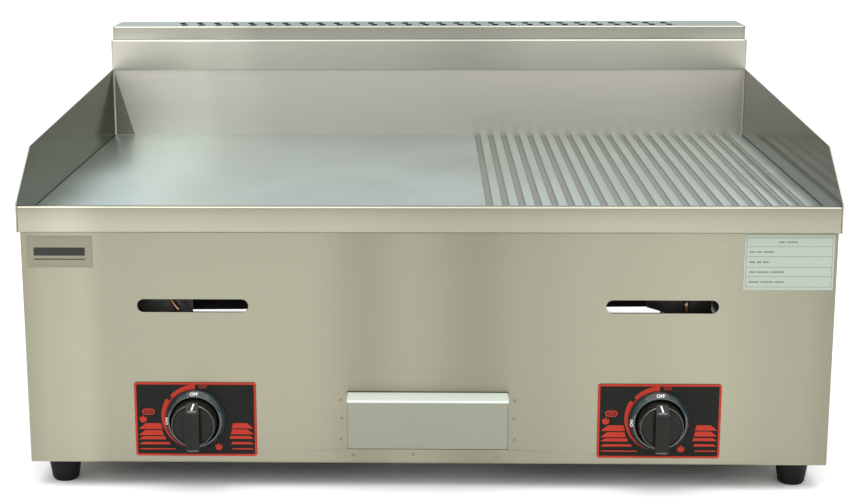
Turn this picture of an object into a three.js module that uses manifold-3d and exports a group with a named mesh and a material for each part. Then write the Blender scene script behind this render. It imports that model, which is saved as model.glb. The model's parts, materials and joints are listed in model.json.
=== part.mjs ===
// A countertop gas griddle with a half flat, half grooved plate, two burners and a drip drawer.
// Millimetres, +Z up, +Y towards the back, origin on the floor below the centre of the outline.
import * as THREE from "three";
import { mergeVertices } from "three/addons/utils/BufferGeometryUtils.js";
import Module from "manifold-3d";

const wasm = await Module();
wasm.setup();

// ---- Driving dimensions -------------------------------------------------------------------

const HALF_WIDTH = 365; // outer face of the side shields
const FRONT = -275; // front face of the top rail
const REAR = 275; // rear face of the body
const SHEET = 1.2; // stainless sheet
const SHIELD_SHEET = 1.5;
const GAP = 0.3; // clearance kept between separate pieces
const SIDES = [
  { name: "left", s: -1 },
  { name: "right", s: 1 },
];

const BASE_Z = 24.5; // underside of the body, on top of the feet
const RAIL_BOTTOM = 240.5;
const RAIL_TOP = 264.5;
const PLATE_TOP = 251;
const PLATE_THICKNESS = 10;
const SHIELD_TOP = 327;
const COLLAR_TOP = 361.5;
const LID_TOP = 376.5;

const BODY_HALF = 363; // outer face of the front and back panels' side returns
const BODY_FRONT = FRONT + 4;
const RETURN_DEPTH = 20; // how far those returns wrap round the sides
const SIDE_OUT = BODY_HALF - SHEET - GAP; // outer face of a side panel
const SIDE_IN = SIDE_OUT - SHEET;
const SPAN_HALF = SIDE_IN - GAP; // half length of a bar between the side panels
const BETWEEN_SHIELDS = HALF_WIDTH - SHIELD_SHEET - GAP; // half length of what fits between the shields
const BASE_FLANGE = 65; // side panel's bottom flange, which carries the feet

const SPLASH_Y = 220.5; // front face of the rear splash panel
const PLATE_FRONT = -213;
const GROOVE = { first: 58, pitch: 15.1, count: 20, width: 6.4, depth: 1.6 };

const COLLAR = { front: SPLASH_Y - 2, rear: REAR + 10, ledge: 5 };
const LID_INSET = 2;
const VENT = {
  centreX: -4, pitch: 20, count: 29, skew: 4.4, frontY: 239, rearY: 259,
  width: 5.6, length: 17,
};

const DRAWER = { x: 1, halfWidth: 72.5, bottom: 38.8, top: 93, back: 40, trayHalf: 69 };
const LIP = { depth: 19, drop: 2.4, hem: 8 }; // the drawer's pull, sloping down to a hem
const DRAWER_GAP = 0.5; // round the drawer's front in its opening
const KNOB = { x: 210, z: 67, travel: 3.5 };
const SLOT = { x: 210, z: 173, halfLength: 50, radius: 6 };

const MANIFOLD = { y: -226, z: 112, radius: 8, inletX: 300 };
const BURNER = { outerX: 240, innerX: 120, z: 182, radius: 13, mouthY: -206.4, bendY: 128, innerFront: -150 };
const SPOUT = { y: -250, radius: 12, bottom: 98 };
const TROUGH = { front: -265.7, back: -213.7, floor: 222, frontTop: 262, backTop: 249.5 };

// ---- Materials ----------------------------------------------------------------------------

function material(color, roughness, metalness) {
  return new THREE.MeshStandardMaterial({ color, roughness, metalness });
}
const steel = material(0xbdbaa8, 0.32, 1);
const plateSteel = material(0xb9bfb6, 0.3, 1);
const galvanised = material(0x8f9290, 0.5, 1);
const castIron = material(0x3b3a38, 0.75, 0.6);
const brass = material(0xb08d4a, 0.35, 1);
const copper = material(0xb8693f, 0.3, 1);
const aluminium = material(0xa7a9aa, 0.45, 1);
const blackPlastic = material(0x121212, 0.2, 0);
const rubber = material(0x1a1c1a, 0.7, 0);
const ceramic = material(0xe8e4da, 0.35, 0);
const leadRed = material(0xc8502a, 0.5, 0);
const panelBlack = material(0x262725, 0.35, 0);
const paper = material(0xdfe6dc, 0.5, 0);
const foil = material(0xc9c8ba, 0.35, 0.8);

// ---- Shape helpers ------------------------------------------------------------------------

// A closed geometry as a solid with its faces pointing out.
function solid(geometry) {
  const bare = geometry.clone();
  for (const name of Object.keys(bare.attributes)) {
    if (name !== "position") bare.deleteAttribute(name);
  }
  const merged = mergeVertices(bare, 1e-4);
  const vertProperties = new Float32Array(merged.attributes.position.array);
  const triVerts = new Uint32Array(merged.index.array);
  const made = new wasm.Manifold(new wasm.Mesh({ numProp: 3, vertProperties, triVerts }));
  if (made.volume() > 0) return made;
  for (let i = 0; i < triVerts.length; i += 3) {
    [triVerts[i + 1], triVerts[i + 2]] = [triVerts[i + 2], triVerts[i + 1]];
  }
  return new wasm.Manifold(new wasm.Mesh({ numProp: 3, vertProperties, triVerts }));
}

function geometryOf(made) {
  const { vertProperties, triVerts, numProp } = made.getMesh();
  const position = new Float32Array((vertProperties.length / numProp) * 3);
  for (let i = 0; i * numProp < vertProperties.length; i++) {
    position.set(vertProperties.subarray(i * numProp, i * numProp + 3), i * 3);
  }
  return new THREE.BufferGeometry()
    .setAttribute("position", new THREE.BufferAttribute(position, 3))
    .setIndex(new THREE.BufferAttribute(triVerts, 1));
}

function join(...pieces) {
  return pieces.reduce((whole, piece) => whole.add(piece));
}

function box(x0, x1, y0, y1, z0, z1) {
  const size = [Math.abs(x1 - x0), y1 - y0, z1 - z0];
  const made = new THREE.BoxGeometry(...size);
  return solid(made.translate((x0 + x1) / 2, (y0 + y1) / 2, (z0 + z1) / 2));
}

function outline(points) {
  return new THREE.Shape(points.map(([x, y]) => new THREE.Vector2(x, y)));
}

// A circle, or an oblong when half is over 0, as points; half is the half length of its straight part.
function roundOutline(x, y, radius, sides, half = 0, upright = false) {
  return Array.from({ length: sides }, (_, i) => {
    const angle = (2 * Math.PI * (i + 0.5)) / sides;
    const [c, s] = [Math.cos(angle), Math.sin(angle)];
    const shift = upright ? [0, Math.sign(s) * half] : [Math.sign(c) * half, 0];
    return [x + radius * c + shift[0], y + radius * s + shift[1]];
  });
}

function withHoles(points, holes) {
  const shape = outline(points);
  shape.holes = holes.map((hole) => new THREE.Path(outline(hole).getPoints()));
  return shape;
}

const rectangle = (x0, x1, y0, y1) => [[x0, y0], [x1, y0], [x1, y1], [x0, y1]];

function extrude(shape, depth) {
  return new THREE.ExtrudeGeometry(shape, { depth, bevelEnabled: false });
}

// A shape drawn in (X, Z), from front y0 to back y1.
function standing(shape, y0, y1) {
  return solid(extrude(shape, y1 - y0).rotateX(Math.PI / 2).translate(0, y1, 0));
}

// A shape drawn in (X, Y), from z0 to z1.
function lying(shape, z0, z1) {
  return solid(extrude(shape, z1 - z0).translate(0, 0, z0));
}

// A profile drawn in (Y, Z), run along X from x0 to x1.
function run(points, x0, x1) {
  const turn = new THREE.Matrix4().set(0, 0, 1, 0, 1, 0, 0, 0, 0, 1, 0, 0, 0, 0, 0, 1);
  return solid(extrude(outline(points), x1 - x0).applyMatrix4(turn).translate(x0, 0, 0));
}

// A profile of [radius, along] points turned about an axis through the origin: along +Y, or +Z when upright.
function turned(points, sides, upright = false) {
  const profile = points.map(([r, along]) => new THREE.Vector2(r, along));
  const made = new THREE.LatheGeometry(profile, sides);
  return solid(upright ? made.rotateX(Math.PI / 2) : made);
}

function disc(radius, from, to) {
  return [[0, from], [radius, from], [radius, to], [0, to]];
}

// A route of straight runs with round bends, as the stations where a tube's sections stand.
function bentRoute(corners, bendRadius, steps) {
  const route = [corners[0]];
  for (let i = 1; i < corners.length - 1; i++) {
    const [before, here, after] = [corners[i - 1], corners[i], corners[i + 1]];
    const inward = before.clone().sub(here).normalize();
    const outward = after.clone().sub(here).normalize();
    const reach = bendRadius / Math.tan(inward.angleTo(outward) / 2);
    const curve = new THREE.QuadraticBezierCurve3(
      here.clone().addScaledVector(inward, reach),
      here,
      here.clone().addScaledVector(outward, reach),
    );
    route.push(...curve.getPoints(steps));
  }
  route.push(corners[corners.length - 1]);
  return route;
}

// A curve whose spaced points are exactly the stations given.
class Stations extends THREE.Curve {
  constructor(points) {
    super();
    this.points = points;
  }
  index(u) {
    return Math.round(u * (this.points.length - 1));
  }
  getPointAt(u) {
    return this.points[this.index(u)].clone();
  }
  getPoint(u) {
    return this.getPointAt(u);
  }
  getTangentAt(u) {
    const i = this.index(u);
    const here = this.points[i];
    const before = this.points[Math.max(i - 1, 0)];
    const after = this.points[Math.min(i + 1, this.points.length - 1)];
    const inward = here.clone().sub(before).normalize();
    return inward.add(after.clone().sub(here).normalize()).normalize();
  }
}

function tube(stations, radius, sides) {
  const section = outline(roundOutline(0, 0, radius, sides));
  const path = new Stations(stations);
  return solid(new THREE.ExtrudeGeometry(section, { steps: stations.length - 1, extrudePath: path }));
}

const at = (x, y, z) => new THREE.Vector3(x, y, z);

// ---- The assembly -------------------------------------------------------------------------

const griddle = new THREE.Group();

function add(name, made, look, position = [0, 0, 0]) {
  const mesh = new THREE.Mesh(geometryOf(made), look);
  mesh.name = name;
  mesh.position.set(...position);
  griddle.add(mesh);
}

// ---- Body panels --------------------------------------------------------------------------

function frontPanel() {
  const top = RAIL_BOTTOM + 8;
  const opening = rectangle(
    DRAWER.x - DRAWER.halfWidth - DRAWER_GAP,
    DRAWER.x + DRAWER.halfWidth + DRAWER_GAP,
    DRAWER.bottom - DRAWER_GAP,
    DRAWER.top + DRAWER_GAP,
  );
  const holes = [opening];
  for (const { s } of SIDES) {
    const straight = SLOT.halfLength - SLOT.radius;
    holes.push(roundOutline(s * SLOT.x, SLOT.z, SLOT.radius, 16, straight));
    holes.push(roundOutline(s * KNOB.x, KNOB.z, 6, 16));
  }
  const face = standing(
    withHoles(rectangle(-BODY_HALF, BODY_HALF, BASE_Z, top), holes),
    BODY_FRONT,
    BODY_FRONT + SHEET,
  );
  const returns = SIDES.map(({ s }) =>
    box(s * (BODY_HALF - SHEET), s * BODY_HALF, BODY_FRONT, BODY_FRONT + RETURN_DEPTH, BASE_Z, RAIL_BOTTOM),
  );
  const foot = box(-300, 300, BODY_FRONT, BODY_FRONT + 12, BASE_Z, BASE_Z + SHEET);
  return join(face, ...returns, foot);
}

function backPanel() {
  const [top, low, high] = [SHIELD_TOP - GAP, BASE_Z + 4.3, BASE_Z + 7.9];
  const inner = SIDE_OUT - BASE_FLANGE;
  const edge = [
    [-BODY_HALF, BASE_Z], [-inner, BASE_Z], [-inner, low], [inner, high],
    [inner, BASE_Z], [BODY_HALF, BASE_Z], [BODY_HALF, top], [-BODY_HALF, top],
  ];
  const inlet = roundOutline(MANIFOLD.inletX, MANIFOLD.z, 11, 20);
  const face = standing(withHoles(edge, [inlet]), REAR - SHEET, REAR);
  const returns = SIDES.map(({ s }) =>
    box(s * (BODY_HALF - SHEET), s * BODY_HALF, REAR - RETURN_DEPTH, REAR, BASE_Z, RAIL_BOTTOM - GAP),
  );
  return join(face, ...returns);
}

function sidePanel(s) {
  const [y0, y1] = [BODY_FRONT + SHEET + GAP, REAR - SHEET - GAP];
  const wall = box(s * SIDE_IN, s * SIDE_OUT, y0, y1, BASE_Z, RAIL_BOTTOM - GAP);
  const flange = box(s * (SIDE_OUT - BASE_FLANGE), s * SIDE_OUT, y0 + 12, y1, BASE_Z, BASE_Z + SHEET);
  return join(wall, flange);
}

function baseCrossBar() {
  const [y0, y1, z0, z1] = [26, 60, BASE_Z + SHEET + GAP, DRAWER.bottom - GAP];
  const profile = [
    [y0, z0], [y0 + 1.5, z0], [y0 + 1.5, z1 - 1.5], [y1 - 1.5, z1 - 1.5],
    [y1 - 1.5, z0], [y1, z0], [y1, z1], [y0, z1],
  ];
  return run(profile, -SPAN_HALF, SPAN_HALF);
}

function foot() {
  return turned(
    [[0, 13], [5, 13], [5, 0], [11, 0], [12.6, 2.4], [15.4, BASE_Z - GAP], [0, BASE_Z - GAP]],
    20,
    true,
  );
}

add("front_panel", frontPanel(), steel);
add("back_panel", backPanel(), steel);
for (const { name, s } of SIDES) add(`side_panel_${name}`, sidePanel(s), steel);
add("base_cross_bar", baseCrossBar(), galvanised);
for (const { name, s } of SIDES) {
  add(`foot_front_${name}`, foot(), rubber, [s * 337, -244, 0]);
  add(`foot_rear_${name}`, foot(), rubber, [s * 337, 244, 0]);
}

// ---- Griddle top --------------------------------------------------------------------------

function frontRail() {
  const t = SHIELD_SHEET;
  const [back, tail] = [FRONT + 9, RAIL_BOTTOM + 12];
  const profile = [
    [FRONT, RAIL_BOTTOM], [FRONT + t, RAIL_BOTTOM], [FRONT + t, RAIL_TOP - t], [back - t, RAIL_TOP - t],
    [back - t, tail], [back, tail], [back, RAIL_TOP], [FRONT, RAIL_TOP],
  ];
  return run(profile, -BETWEEN_SHIELDS, BETWEEN_SHIELDS);
}

function sideShield(s) {
  const profile = [
    [FRONT, RAIL_BOTTOM], [REAR, RAIL_BOTTOM], [REAR, SHIELD_TOP], [SPLASH_Y, SHIELD_TOP],
    [FRONT + 63, RAIL_TOP + 43.6], [FRONT + 2, RAIL_TOP + 5], [FRONT, RAIL_TOP + 1],
  ];
  const [inner, outer] = [HALF_WIDTH - SHIELD_SHEET, HALF_WIDTH];
  return s > 0 ? run(profile, inner, outer) : run(profile, -outer, -inner);
}

function griddlePlate() {
  const half = BETWEEN_SHIELDS;
  const bottom = PLATE_TOP - PLATE_THICKNESS;
  const corner = 0.8; // broken upper edges of the plate
  const top = [];
  for (let i = 0; i < GROOVE.count; i++) {
    const x = GROOVE.first + i * GROOVE.pitch;
    const [wide, narrow] = [GROOVE.width / 2, GROOVE.width / 2 - 0.6];
    const low = PLATE_TOP - GROOVE.depth;
    top.push([x - wide, PLATE_TOP], [x - narrow, low], [x + narrow, low], [x + wide, PLATE_TOP]);
  }
  const profile = [
    [-half, bottom], [-half, PLATE_TOP - corner], [-half + corner, PLATE_TOP],
    ...top,
    [half - corner, PLATE_TOP], [half, PLATE_TOP - corner], [half, bottom],
  ];
  return standing(outline(profile), PLATE_FRONT, SPLASH_Y - GAP);
}

function plateLedge(s) {
  const top = PLATE_TOP - PLATE_THICKNESS - GAP;
  const wall = box(s * (SPAN_HALF - 1.5), s * SPAN_HALF, -206, 214, top - 20, top);
  const shelf = box(s * (SPAN_HALF - 20), s * SPAN_HALF, -206, 214, top - 1.5, top);
  return join(wall, shelf);
}

function greaseTrough() {
  const { front, back, floor, frontTop, backTop } = TROUGH;
  const t = SHEET;
  const profile = [
    [front, floor], [back, floor], [back, backTop], [back - t, backTop],
    [back - t, floor + t], [front + t, floor + t], [front + t, frontTop], [front, frontTop],
  ];
  const channel = run(profile, -SPAN_HALF, SPAN_HALF);
  const top = RAIL_BOTTOM + 2;
  const ends = SIDES.map(({ s }) =>
    join(
      box(s * (SPAN_HALF - t), s * SPAN_HALF, front, back, floor, top),
      box(s * (SPAN_HALF - t), s * BETWEEN_SHIELDS, front, back, top - t, top),
    ),
  );
  const drain = turned(disc(SPOUT.radius - SHEET, floor - 5, floor + 5), 20, true);
  return join(channel, ...ends).subtract(drain.translate(DRAWER.x, SPOUT.y, 0));
}

function drainSpout() {
  const [inner, outer, top] = [SPOUT.radius - 1.2, SPOUT.radius, TROUGH.floor - GAP];
  const profile = [
    [inner, SPOUT.bottom], [outer, SPOUT.bottom], [outer, top - 2],
    [outer + 1.8, top - 1.5], [outer + 1.8, top], [inner, top], [inner, SPOUT.bottom],
  ];
  return turned(profile, 20, true);
}

function splashPanel() {
  const half = BETWEEN_SHIELDS;
  const top = SHIELD_TOP - GAP;
  const wall = box(-half, half, SPLASH_Y, SPLASH_Y + SHEET, RAIL_BOTTOM + 0.5, top);
  const tail = box(-SPAN_HALF, SPAN_HALF, SPLASH_Y, SPLASH_Y + SHEET, RAIL_BOTTOM - 12, top);
  const hem = box(-half, half, SPLASH_Y, SPLASH_Y + 9, top - SHEET, top);
  return join(wall, tail, hem);
}

function flueCollar() {
  const t = SHIELD_SHEET;
  const bottom = SHIELD_TOP + GAP;
  const { front, rear, ledge } = COLLAR;
  const inset = (by) => rectangle(-HALF_WIDTH + by, HALF_WIDTH - by, front + by, rear - by);
  const [outer, inner, mouth] = [inset(0), inset(t), inset(ledge)];
  const walls = lying(withHoles(outer, [inner]), bottom, COLLAR_TOP);
  const top = lying(withHoles(outer, [mouth]), COLLAR_TOP - t, COLLAR_TOP);
  return join(walls, top);
}

// The lid's outline, drawn in by so much from its outer face.
function lidOutline(by) {
  const inset = LID_INSET + by;
  return rectangle(-HALF_WIDTH + inset, HALF_WIDTH - inset, COLLAR.front + inset, COLLAR.rear - inset);
}

// The lid's top, with two rows of vents set askew.
function flueLid() {
  const holes = [];
  for (let i = 0; i < VENT.count; i++) {
    const x = VENT.centreX + (i - (VENT.count - 1) / 2) * VENT.pitch;
    const straight = (VENT.length - VENT.width) / 2;
    holes.push(roundOutline(x + VENT.skew / 2, VENT.frontY, VENT.width / 2, 8, straight, true));
    holes.push(roundOutline(x - VENT.skew / 2, VENT.rearY, VENT.width / 2, 8, straight, true));
  }
  return lying(withHoles(lidOutline(0), holes), LID_TOP - SHEET, LID_TOP);
}

// The band folded down round the lid's top.
function flueLidSkirt() {
  return lying(withHoles(lidOutline(0), [lidOutline(SHEET)]), COLLAR_TOP + GAP, LID_TOP - SHEET - GAP);
}

add("front_rail", frontRail(), steel);
for (const { name, s } of SIDES) {
  add(`side_shield_${name}`, sideShield(s), steel);
  add(`plate_ledge_${name}`, plateLedge(s), galvanised);
}
add("griddle_plate", griddlePlate(), plateSteel);
add("grease_trough", greaseTrough(), steel);
add("drain_spout", drainSpout(), steel, [DRAWER.x, SPOUT.y, 0]);
add("splash_panel", splashPanel(), steel);
add("flue_collar", flueCollar(), steel);
add("flue_lid", flueLid(), steel);
add("flue_lid_skirt", flueLidSkirt(), steel);

// ---- Drip drawer --------------------------------------------------------------------------

function drawerFront() {
  const t = SHEET;
  const { top, bottom } = DRAWER;
  const { depth, drop, hem } = LIP;
  const [face, edge, low, rise] = [BODY_FRONT, BODY_FRONT - depth, top - drop, (hem * drop) / depth];
  const profile = [
    [face, bottom], [face + t, bottom], [face + t, top], [face, top],
    [edge, low], [edge, low - 2 * t], [edge + hem, low + rise - 2 * t], [edge + hem, low + rise - t],
    [face, top - t],
  ];
  return run(profile, DRAWER.x - DRAWER.halfWidth, DRAWER.x + DRAWER.halfWidth);
}

function drawerTray() {
  const [x0, x1] = [DRAWER.x - DRAWER.trayHalf, DRAWER.x + DRAWER.trayHalf];
  const [y0, y1] = [BODY_FRONT + SHEET + GAP, DRAWER.back];
  const [z0, z1, t] = [41.2, 86, 1];
  return box(x0, x1, y0, y1, z0, z1).subtract(box(x0 + t, x1 - t, y0 + t, y1 - t, z0 + t, z1 + 5));
}

// A trough of sheet that carries the drawer: lips over the tray's edges, flanges behind the front panel.
function drawerGuide() {
  const t = SHEET;
  const y0 = BODY_FRONT + SHEET + GAP;
  const [floor, top, half] = [DRAWER.bottom, 88.4, DRAWER.trayHalf + 2.6];
  const pieces = [box(DRAWER.x - half, DRAWER.x + half, y0, 60, floor, floor + t)];
  for (const { s } of SIDES) {
    const [inner, outer] = [DRAWER.x + s * (half - t), DRAWER.x + s * half];
    pieces.push(box(inner, outer, y0, 60, floor, top));
    pieces.push(box(DRAWER.x + s * (half - 9), outer, y0, 60, top - t, top));
    pieces.push(box(inner, DRAWER.x + s * (half + 15), y0, y0 + t, floor, top));
  }
  pieces.push(box(DRAWER.x - half, DRAWER.x + half, y0, y0 + t, BASE_Z + 3, floor + t));
  return join(...pieces);
}

add("drawer_front", drawerFront(), steel);
add("drawer_tray", drawerTray(), steel);
add("drawer_guide", drawerGuide(), galvanised);

// ---- Controls: one set for each burner ----------------------------------------------------

const CONTROL_FACE = BODY_FRONT - GAP - 0.6; // front face of the control plate
const KNOB_BACK = CONTROL_FACE - KNOB.travel - 0.7;
const KNOB_DISC = BODY_FRONT - 21.5;
const KNOB_FRONT = BODY_FRONT - 27;

function controlPlate() {
  const hole = roundOutline(0, 0, 9, 20);
  return standing(withHoles(rectangle(-55.5, 55.5, -35.5, 34.5), [hole]), CONTROL_FACE, BODY_FRONT - GAP);
}

// A fixed ring round the knob, with a flared skirt.
function bezel() {
  const back = CONTROL_FACE - GAP;
  return turned(
    [
      [22.4, back], [28, back], [28, back - 1.4], [26.6, back - 4.5],
      [24.6, back - 7.8], [22.9, back - 8.6], [22.4, back - 8], [22.4, back],
    ],
    32,
  );
}

// A tapered disc with a raised grip across it, and a blind bore for the spindle. The grip's
// upper end slopes back over the disc's edge, and its lower end hangs over it.
function knob() {
  const [rim, face] = [21.7, 19.5];
  const section = [
    [0, KNOB_DISC], [face - 1.2, KNOB_DISC], [face, KNOB_DISC + 1.4],
    [rim, KNOB_BACK], [0, KNOB_BACK],
  ];
  const body = turned(section, 32);
  const [root, crest, overhang] = [KNOB_DISC + 4, KNOB_DISC + 1.5, KNOB_DISC + 0.6];
  const grip = [
    [root, -17], [root, 20.9], [crest, 20.9], [KNOB_FRONT, 12.3], [KNOB_FRONT, -21.2],
    [KNOB_FRONT + 3, -23.7], [overhang, -23.7], [overhang, -17],
  ];
  const bore = turned(disc(SPINDLE.radius + GAP, KNOB_FRONT + 8, KNOB_BACK + 1), 20);
  return join(body, run(grip, -6.4, 6.4)).subtract(bore);
}

// The spindle reaches from inside the valve's plug to inside the knob.
const SPINDLE = { radius: 3.9, front: KNOB_FRONT + 8.4, back: -249 };

// A round bar with a flat down its upper side, so that what it fits turns with it.
function flatted(radius, front, back) {
  const section = [[0, front], [radius - 0.6, front], [radius, front + 0.8], [radius, back], [0, back]];
  return turned(section, 12).subtract(box(-radius, radius, front - 1, back + 1, radius - 1, radius + 1));
}

function spindle() {
  return flatted(SPINDLE.radius, SPINDLE.front, SPINDLE.back);
}

const VALVE = { front: -262, back: -214, radius: 13, outletY: -240 };
const PLUG = { front: -258, back: -233, radius: 8.5 };

function valveBody(s) {
  const { front, back, radius, outletY } = VALVE;
  const bore = PLUG.radius + 0.5;
  const end = PLUG.back + 0.5;
  const section = [
    [bore, front], [radius, front], [radius, back], [0, back],
    [0, end], [bore, end], [bore, front],
  ];
  const barrel = turned(section, 24);
  const neck = turned(disc(7.5, 10, MANIFOLD.z - MANIFOLD.radius - KNOB.z - 0.8), 16, true);
  const outlet = turned(disc(6, -3, 20), 12, true).rotate([0, s * 90, 0]);
  const earOutline = withHoles(rectangle(-10, 10, -20, 20), [roundOutline(0, 0, bore, 20)]);
  const ears = standing(earOutline, front, front + 3);
  const shaft = turned(disc(bore, front - 1, end), 24);
  const openOutlet = outlet.translate(0, outletY, 0).subtract(shaft);
  return join(barrel, neck.translate(0, MANIFOLD.y, 0), openOutlet, ears);
}

function valvePlug() {
  const { front, back, radius: wide } = PLUG;
  const bore = flatted(SPINDLE.radius + GAP, front - 2, back - 5);
  const gasWay = turned(disc(2.2, -wide - 1, wide + 1), 8).rotate([0, 0, 90]).translate(0, VALVE.outletY, 0);
  const body = [[0, front], [wide - 1, front], [wide, front + 1], [wide - 1.5, back], [0, back]];
  return turned(body, 20).subtract(join(bore, gasWay));
}

function returnSpring() {
  const [from, to, turns, steps] = [SPINDLE.back + 1, PLUG.back - 6, 4, 10];
  const coil = Array.from({ length: turns * steps + 1 }, (_, i) => {
    const angle = (2 * Math.PI * i) / steps;
    const y = from + ((to - from) * i) / (turns * steps);
    return at(2.9 * Math.cos(angle), y, 2.9 * Math.sin(angle));
  });
  return tube(coil, 0.45, 5);
}

function piezoIgniter() {
  const shell = box(-9, 9, VALVE.front + 4, -238, 14, 30);
  const cap = box(-5, 5, -238, -236, 17, 27);
  return join(shell, cap);
}

for (const { name, s } of SIDES) {
  const place = [s * KNOB.x, 0, KNOB.z];
  add(`control_plate_${name}`, controlPlate(), panelBlack, place);
  add(`bezel_${name}`, bezel(), blackPlastic, place);
  add(`knob_${name}`, knob(), blackPlastic, place);
  add(`spindle_${name}`, spindle(), aluminium, place);
  add(`valve_body_${name}`, valveBody(s), aluminium, place);
  add(`valve_plug_${name}`, valvePlug(), brass, place);
  add(`return_spring_${name}`, returnSpring(), galvanised, place);
  add(`piezo_igniter_${name}`, piezoIgniter(), blackPlastic, place);
}

// ---- Burners and gas lines ----------------------------------------------------------------

// Two arc-shaped windows, in the burner's mouth and in the disc that turns in front of it.
function airWindows() {
  const sweep = [-0.7, -0.35, 0, 0.35, 0.7];
  return [0, Math.PI].map((turn) => {
    const spoke = (radius, angle) => [radius * Math.cos(angle + turn), radius * Math.sin(angle + turn)];
    const arc = (radius, angles) => angles.map((angle) => spoke(radius, angle));
    return [...arc(10.8, sweep), ...arc(6.8, [...sweep].reverse())];
  });
}

function burner(s) {
  const { outerX, innerX, z, radius, mouthY, bendY, innerFront } = BURNER;
  const [middle, swing] = [(outerX + innerX) / 2, (outerX - innerX) / 2];
  const bend = Array.from({ length: 13 }, (_, i) => {
    const angle = (Math.PI * i) / 12;
    return at(s * (middle + swing * Math.cos(angle)), bendY + swing * Math.sin(angle), z);
  });
  const pipe = tube([at(s * outerX, mouthY, z), ...bend, at(s * innerX, innerFront, z)], radius, 14);
  const strut = box(s * innerX, s * outerX, -118, -104, z - 8, z - 6);
  const bore = turned(disc(11, mouthY + 1.6, mouthY + 40), 14);
  const ports = airWindows().map((hole) => standing(outline(hole), mouthY - 1, mouthY + 2));
  const jet = turned(disc(5, mouthY - 1, mouthY + 2), 14);
  return join(pipe, strut).subtract(join(bore, jet, ...ports).translate(s * outerX, 0, z));
}

// Across the burner group: places from the axis of the burner's mouth, the same way round on both sides.
const BRACKET = { y: -216.2, left: -37, right: 22.4, top: 199, base: 148.6, sheet: 1.4 };
const ELECTRODE = { x: -20, y: -193, bottom: 156, tab: 164 };

// A slotted disc that turns in front of the burner's mouth.
function airShutter() {
  const [front, back] = [BURNER.mouthY - 1.6, BURNER.mouthY - 0.4];
  const holes = [roundOutline(0, 0, 5, 16), ...airWindows()];
  const face = standing(withHoles(roundOutline(0, 0, 15.5, 24), holes), front, back);
  return join(face, box(-3, 3, front, back, 14, 22));
}

function injector() {
  const [front, shoulder, tip] = [-232, -216.8, -200];
  const [hexagon, stem] = [7.5, 4.4];
  const section = [
    [0, front], [hexagon, front], [hexagon, shoulder], [stem, shoulder],
    [stem, tip - 3], [3, tip], [0, tip],
  ];
  return turned(section, 12);
}

// Stands on the front bar: a plate for the jet, a step that carries the burner, a tab for the electrode.
function burnerBracket() {
  const { y, left, right, top, base, sheet } = BRACKET;
  const points = [[left, top], [left, 158.4], [-21.5, 154], [-21.5, base], [right, base], [right, top]];
  const plate = standing(withHoles(points, [roundOutline(0, BURNER.z, 5.2, 16)]), y, y + sheet);
  const shelf = BURNER.z - BURNER.radius - GAP;
  const step = [
    [y, base], [-196, base], [-196, shelf - sheet], [-180, shelf - sheet],
    [-180, shelf], [-197.4, shelf], [-197.4, base + sheet], [y, base + sheet],
  ];
  const tabHole = roundOutline(ELECTRODE.x, ELECTRODE.y, 3.3, 16);
  const tabOutline = rectangle(ELECTRODE.x - 7, ELECTRODE.x + 7, y, ELECTRODE.y + 8);
  const tab = lying(withHoles(tabOutline, [tabHole]), ELECTRODE.tab, ELECTRODE.tab + sheet);
  return join(plate, run(step, -10, 10), tab);
}

function burnerFrontBar() {
  const [front, back, bottom, top, t] = [-217, -197, 128, BRACKET.base - GAP, 1.5];
  const profile = [
    [front, bottom], [front + t, bottom], [front + t, top - t],
    [back, top - t], [back, top], [front, top],
  ];
  return run(profile, -SPAN_HALF, SPAN_HALF);
}

function burnerRearBar() {
  const top = BURNER.z - BURNER.radius - GAP;
  const [front, back, bottom, t] = [150, 170, top - 30, 1.5];
  const profile = [
    [front, bottom], [back, bottom], [back, bottom + t],
    [front + t, bottom + t], [front + t, top], [front, top],
  ];
  return run(profile, -SPAN_HALF, SPAN_HALF);
}

function electrode() {
  const { bottom, tab } = ELECTRODE;
  const [seat, top, radius, collar] = [tab + 1.7, tab + 15, 3, 4.4];
  const section = [
    [0, bottom], [radius, bottom], [radius, seat], [collar, seat],
    [collar, seat + 3], [radius, seat + 3.5], [radius, top], [0, top],
  ];
  const body = turned(section, 10, true);
  const tip = turned(disc(0.8, top - 1, top + 9), 6, true);
  return join(body, tip);
}

// Each lead's own bends, between the igniter and the run under the front bar.
const LEAD_BENDS = {
  left: [[-226, -248, 89], [-231, -238, 109], [-237, -236, 124]],
  right: [[225, -248, 89], [225, -238, 109], [222, -236, 124]],
};

// From the igniter over the gas manifold, under the front bar and up into the electrode's lower end.
function ignitionLead(name, s) {
  const [x, { y, bottom }] = [s * BURNER.outerX + ELECTRODE.x, ELECTRODE];
  const corners = [[s * 219.6, -248, 89], ...LEAD_BENDS[name], [x, y, 124], [x, y, bottom - GAP]];
  return tube(bentRoute(corners.map((corner) => at(...corner)), 3, 3), 1.4, 6);
}

// Hand-bent copper from the valve to the jet: the two sides differ.
const FEED_BENDS = {
  left: [[-238, -240, 67], [-238, -247, 92], [-224, -247, 122], [-227, -247, 164]],
  right: [[238, -240, 67], [239.5, -247, 100], [234.5, -247, 170]],
};

function feedTube(name, s) {
  const [x, y] = [s * BURNER.outerX, VALVE.outletY];
  const corners = [[s * 230.4, y, KNOB.z], ...FEED_BENDS[name], [x, y, BURNER.z], [x, y + 7.7, BURNER.z]];
  return tube(bentRoute(corners.map((corner) => at(...corner)), 4, 3), 2.6, 8);
}

function gasManifold() {
  const { y, z, radius, inletX } = MANIFOLD;
  const corners = [at(-232, y, z), at(inletX, y, z), at(inletX, REAR - 22, z)];
  return tube(bentRoute(corners, 22, 6), radius, 14);
}

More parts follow.
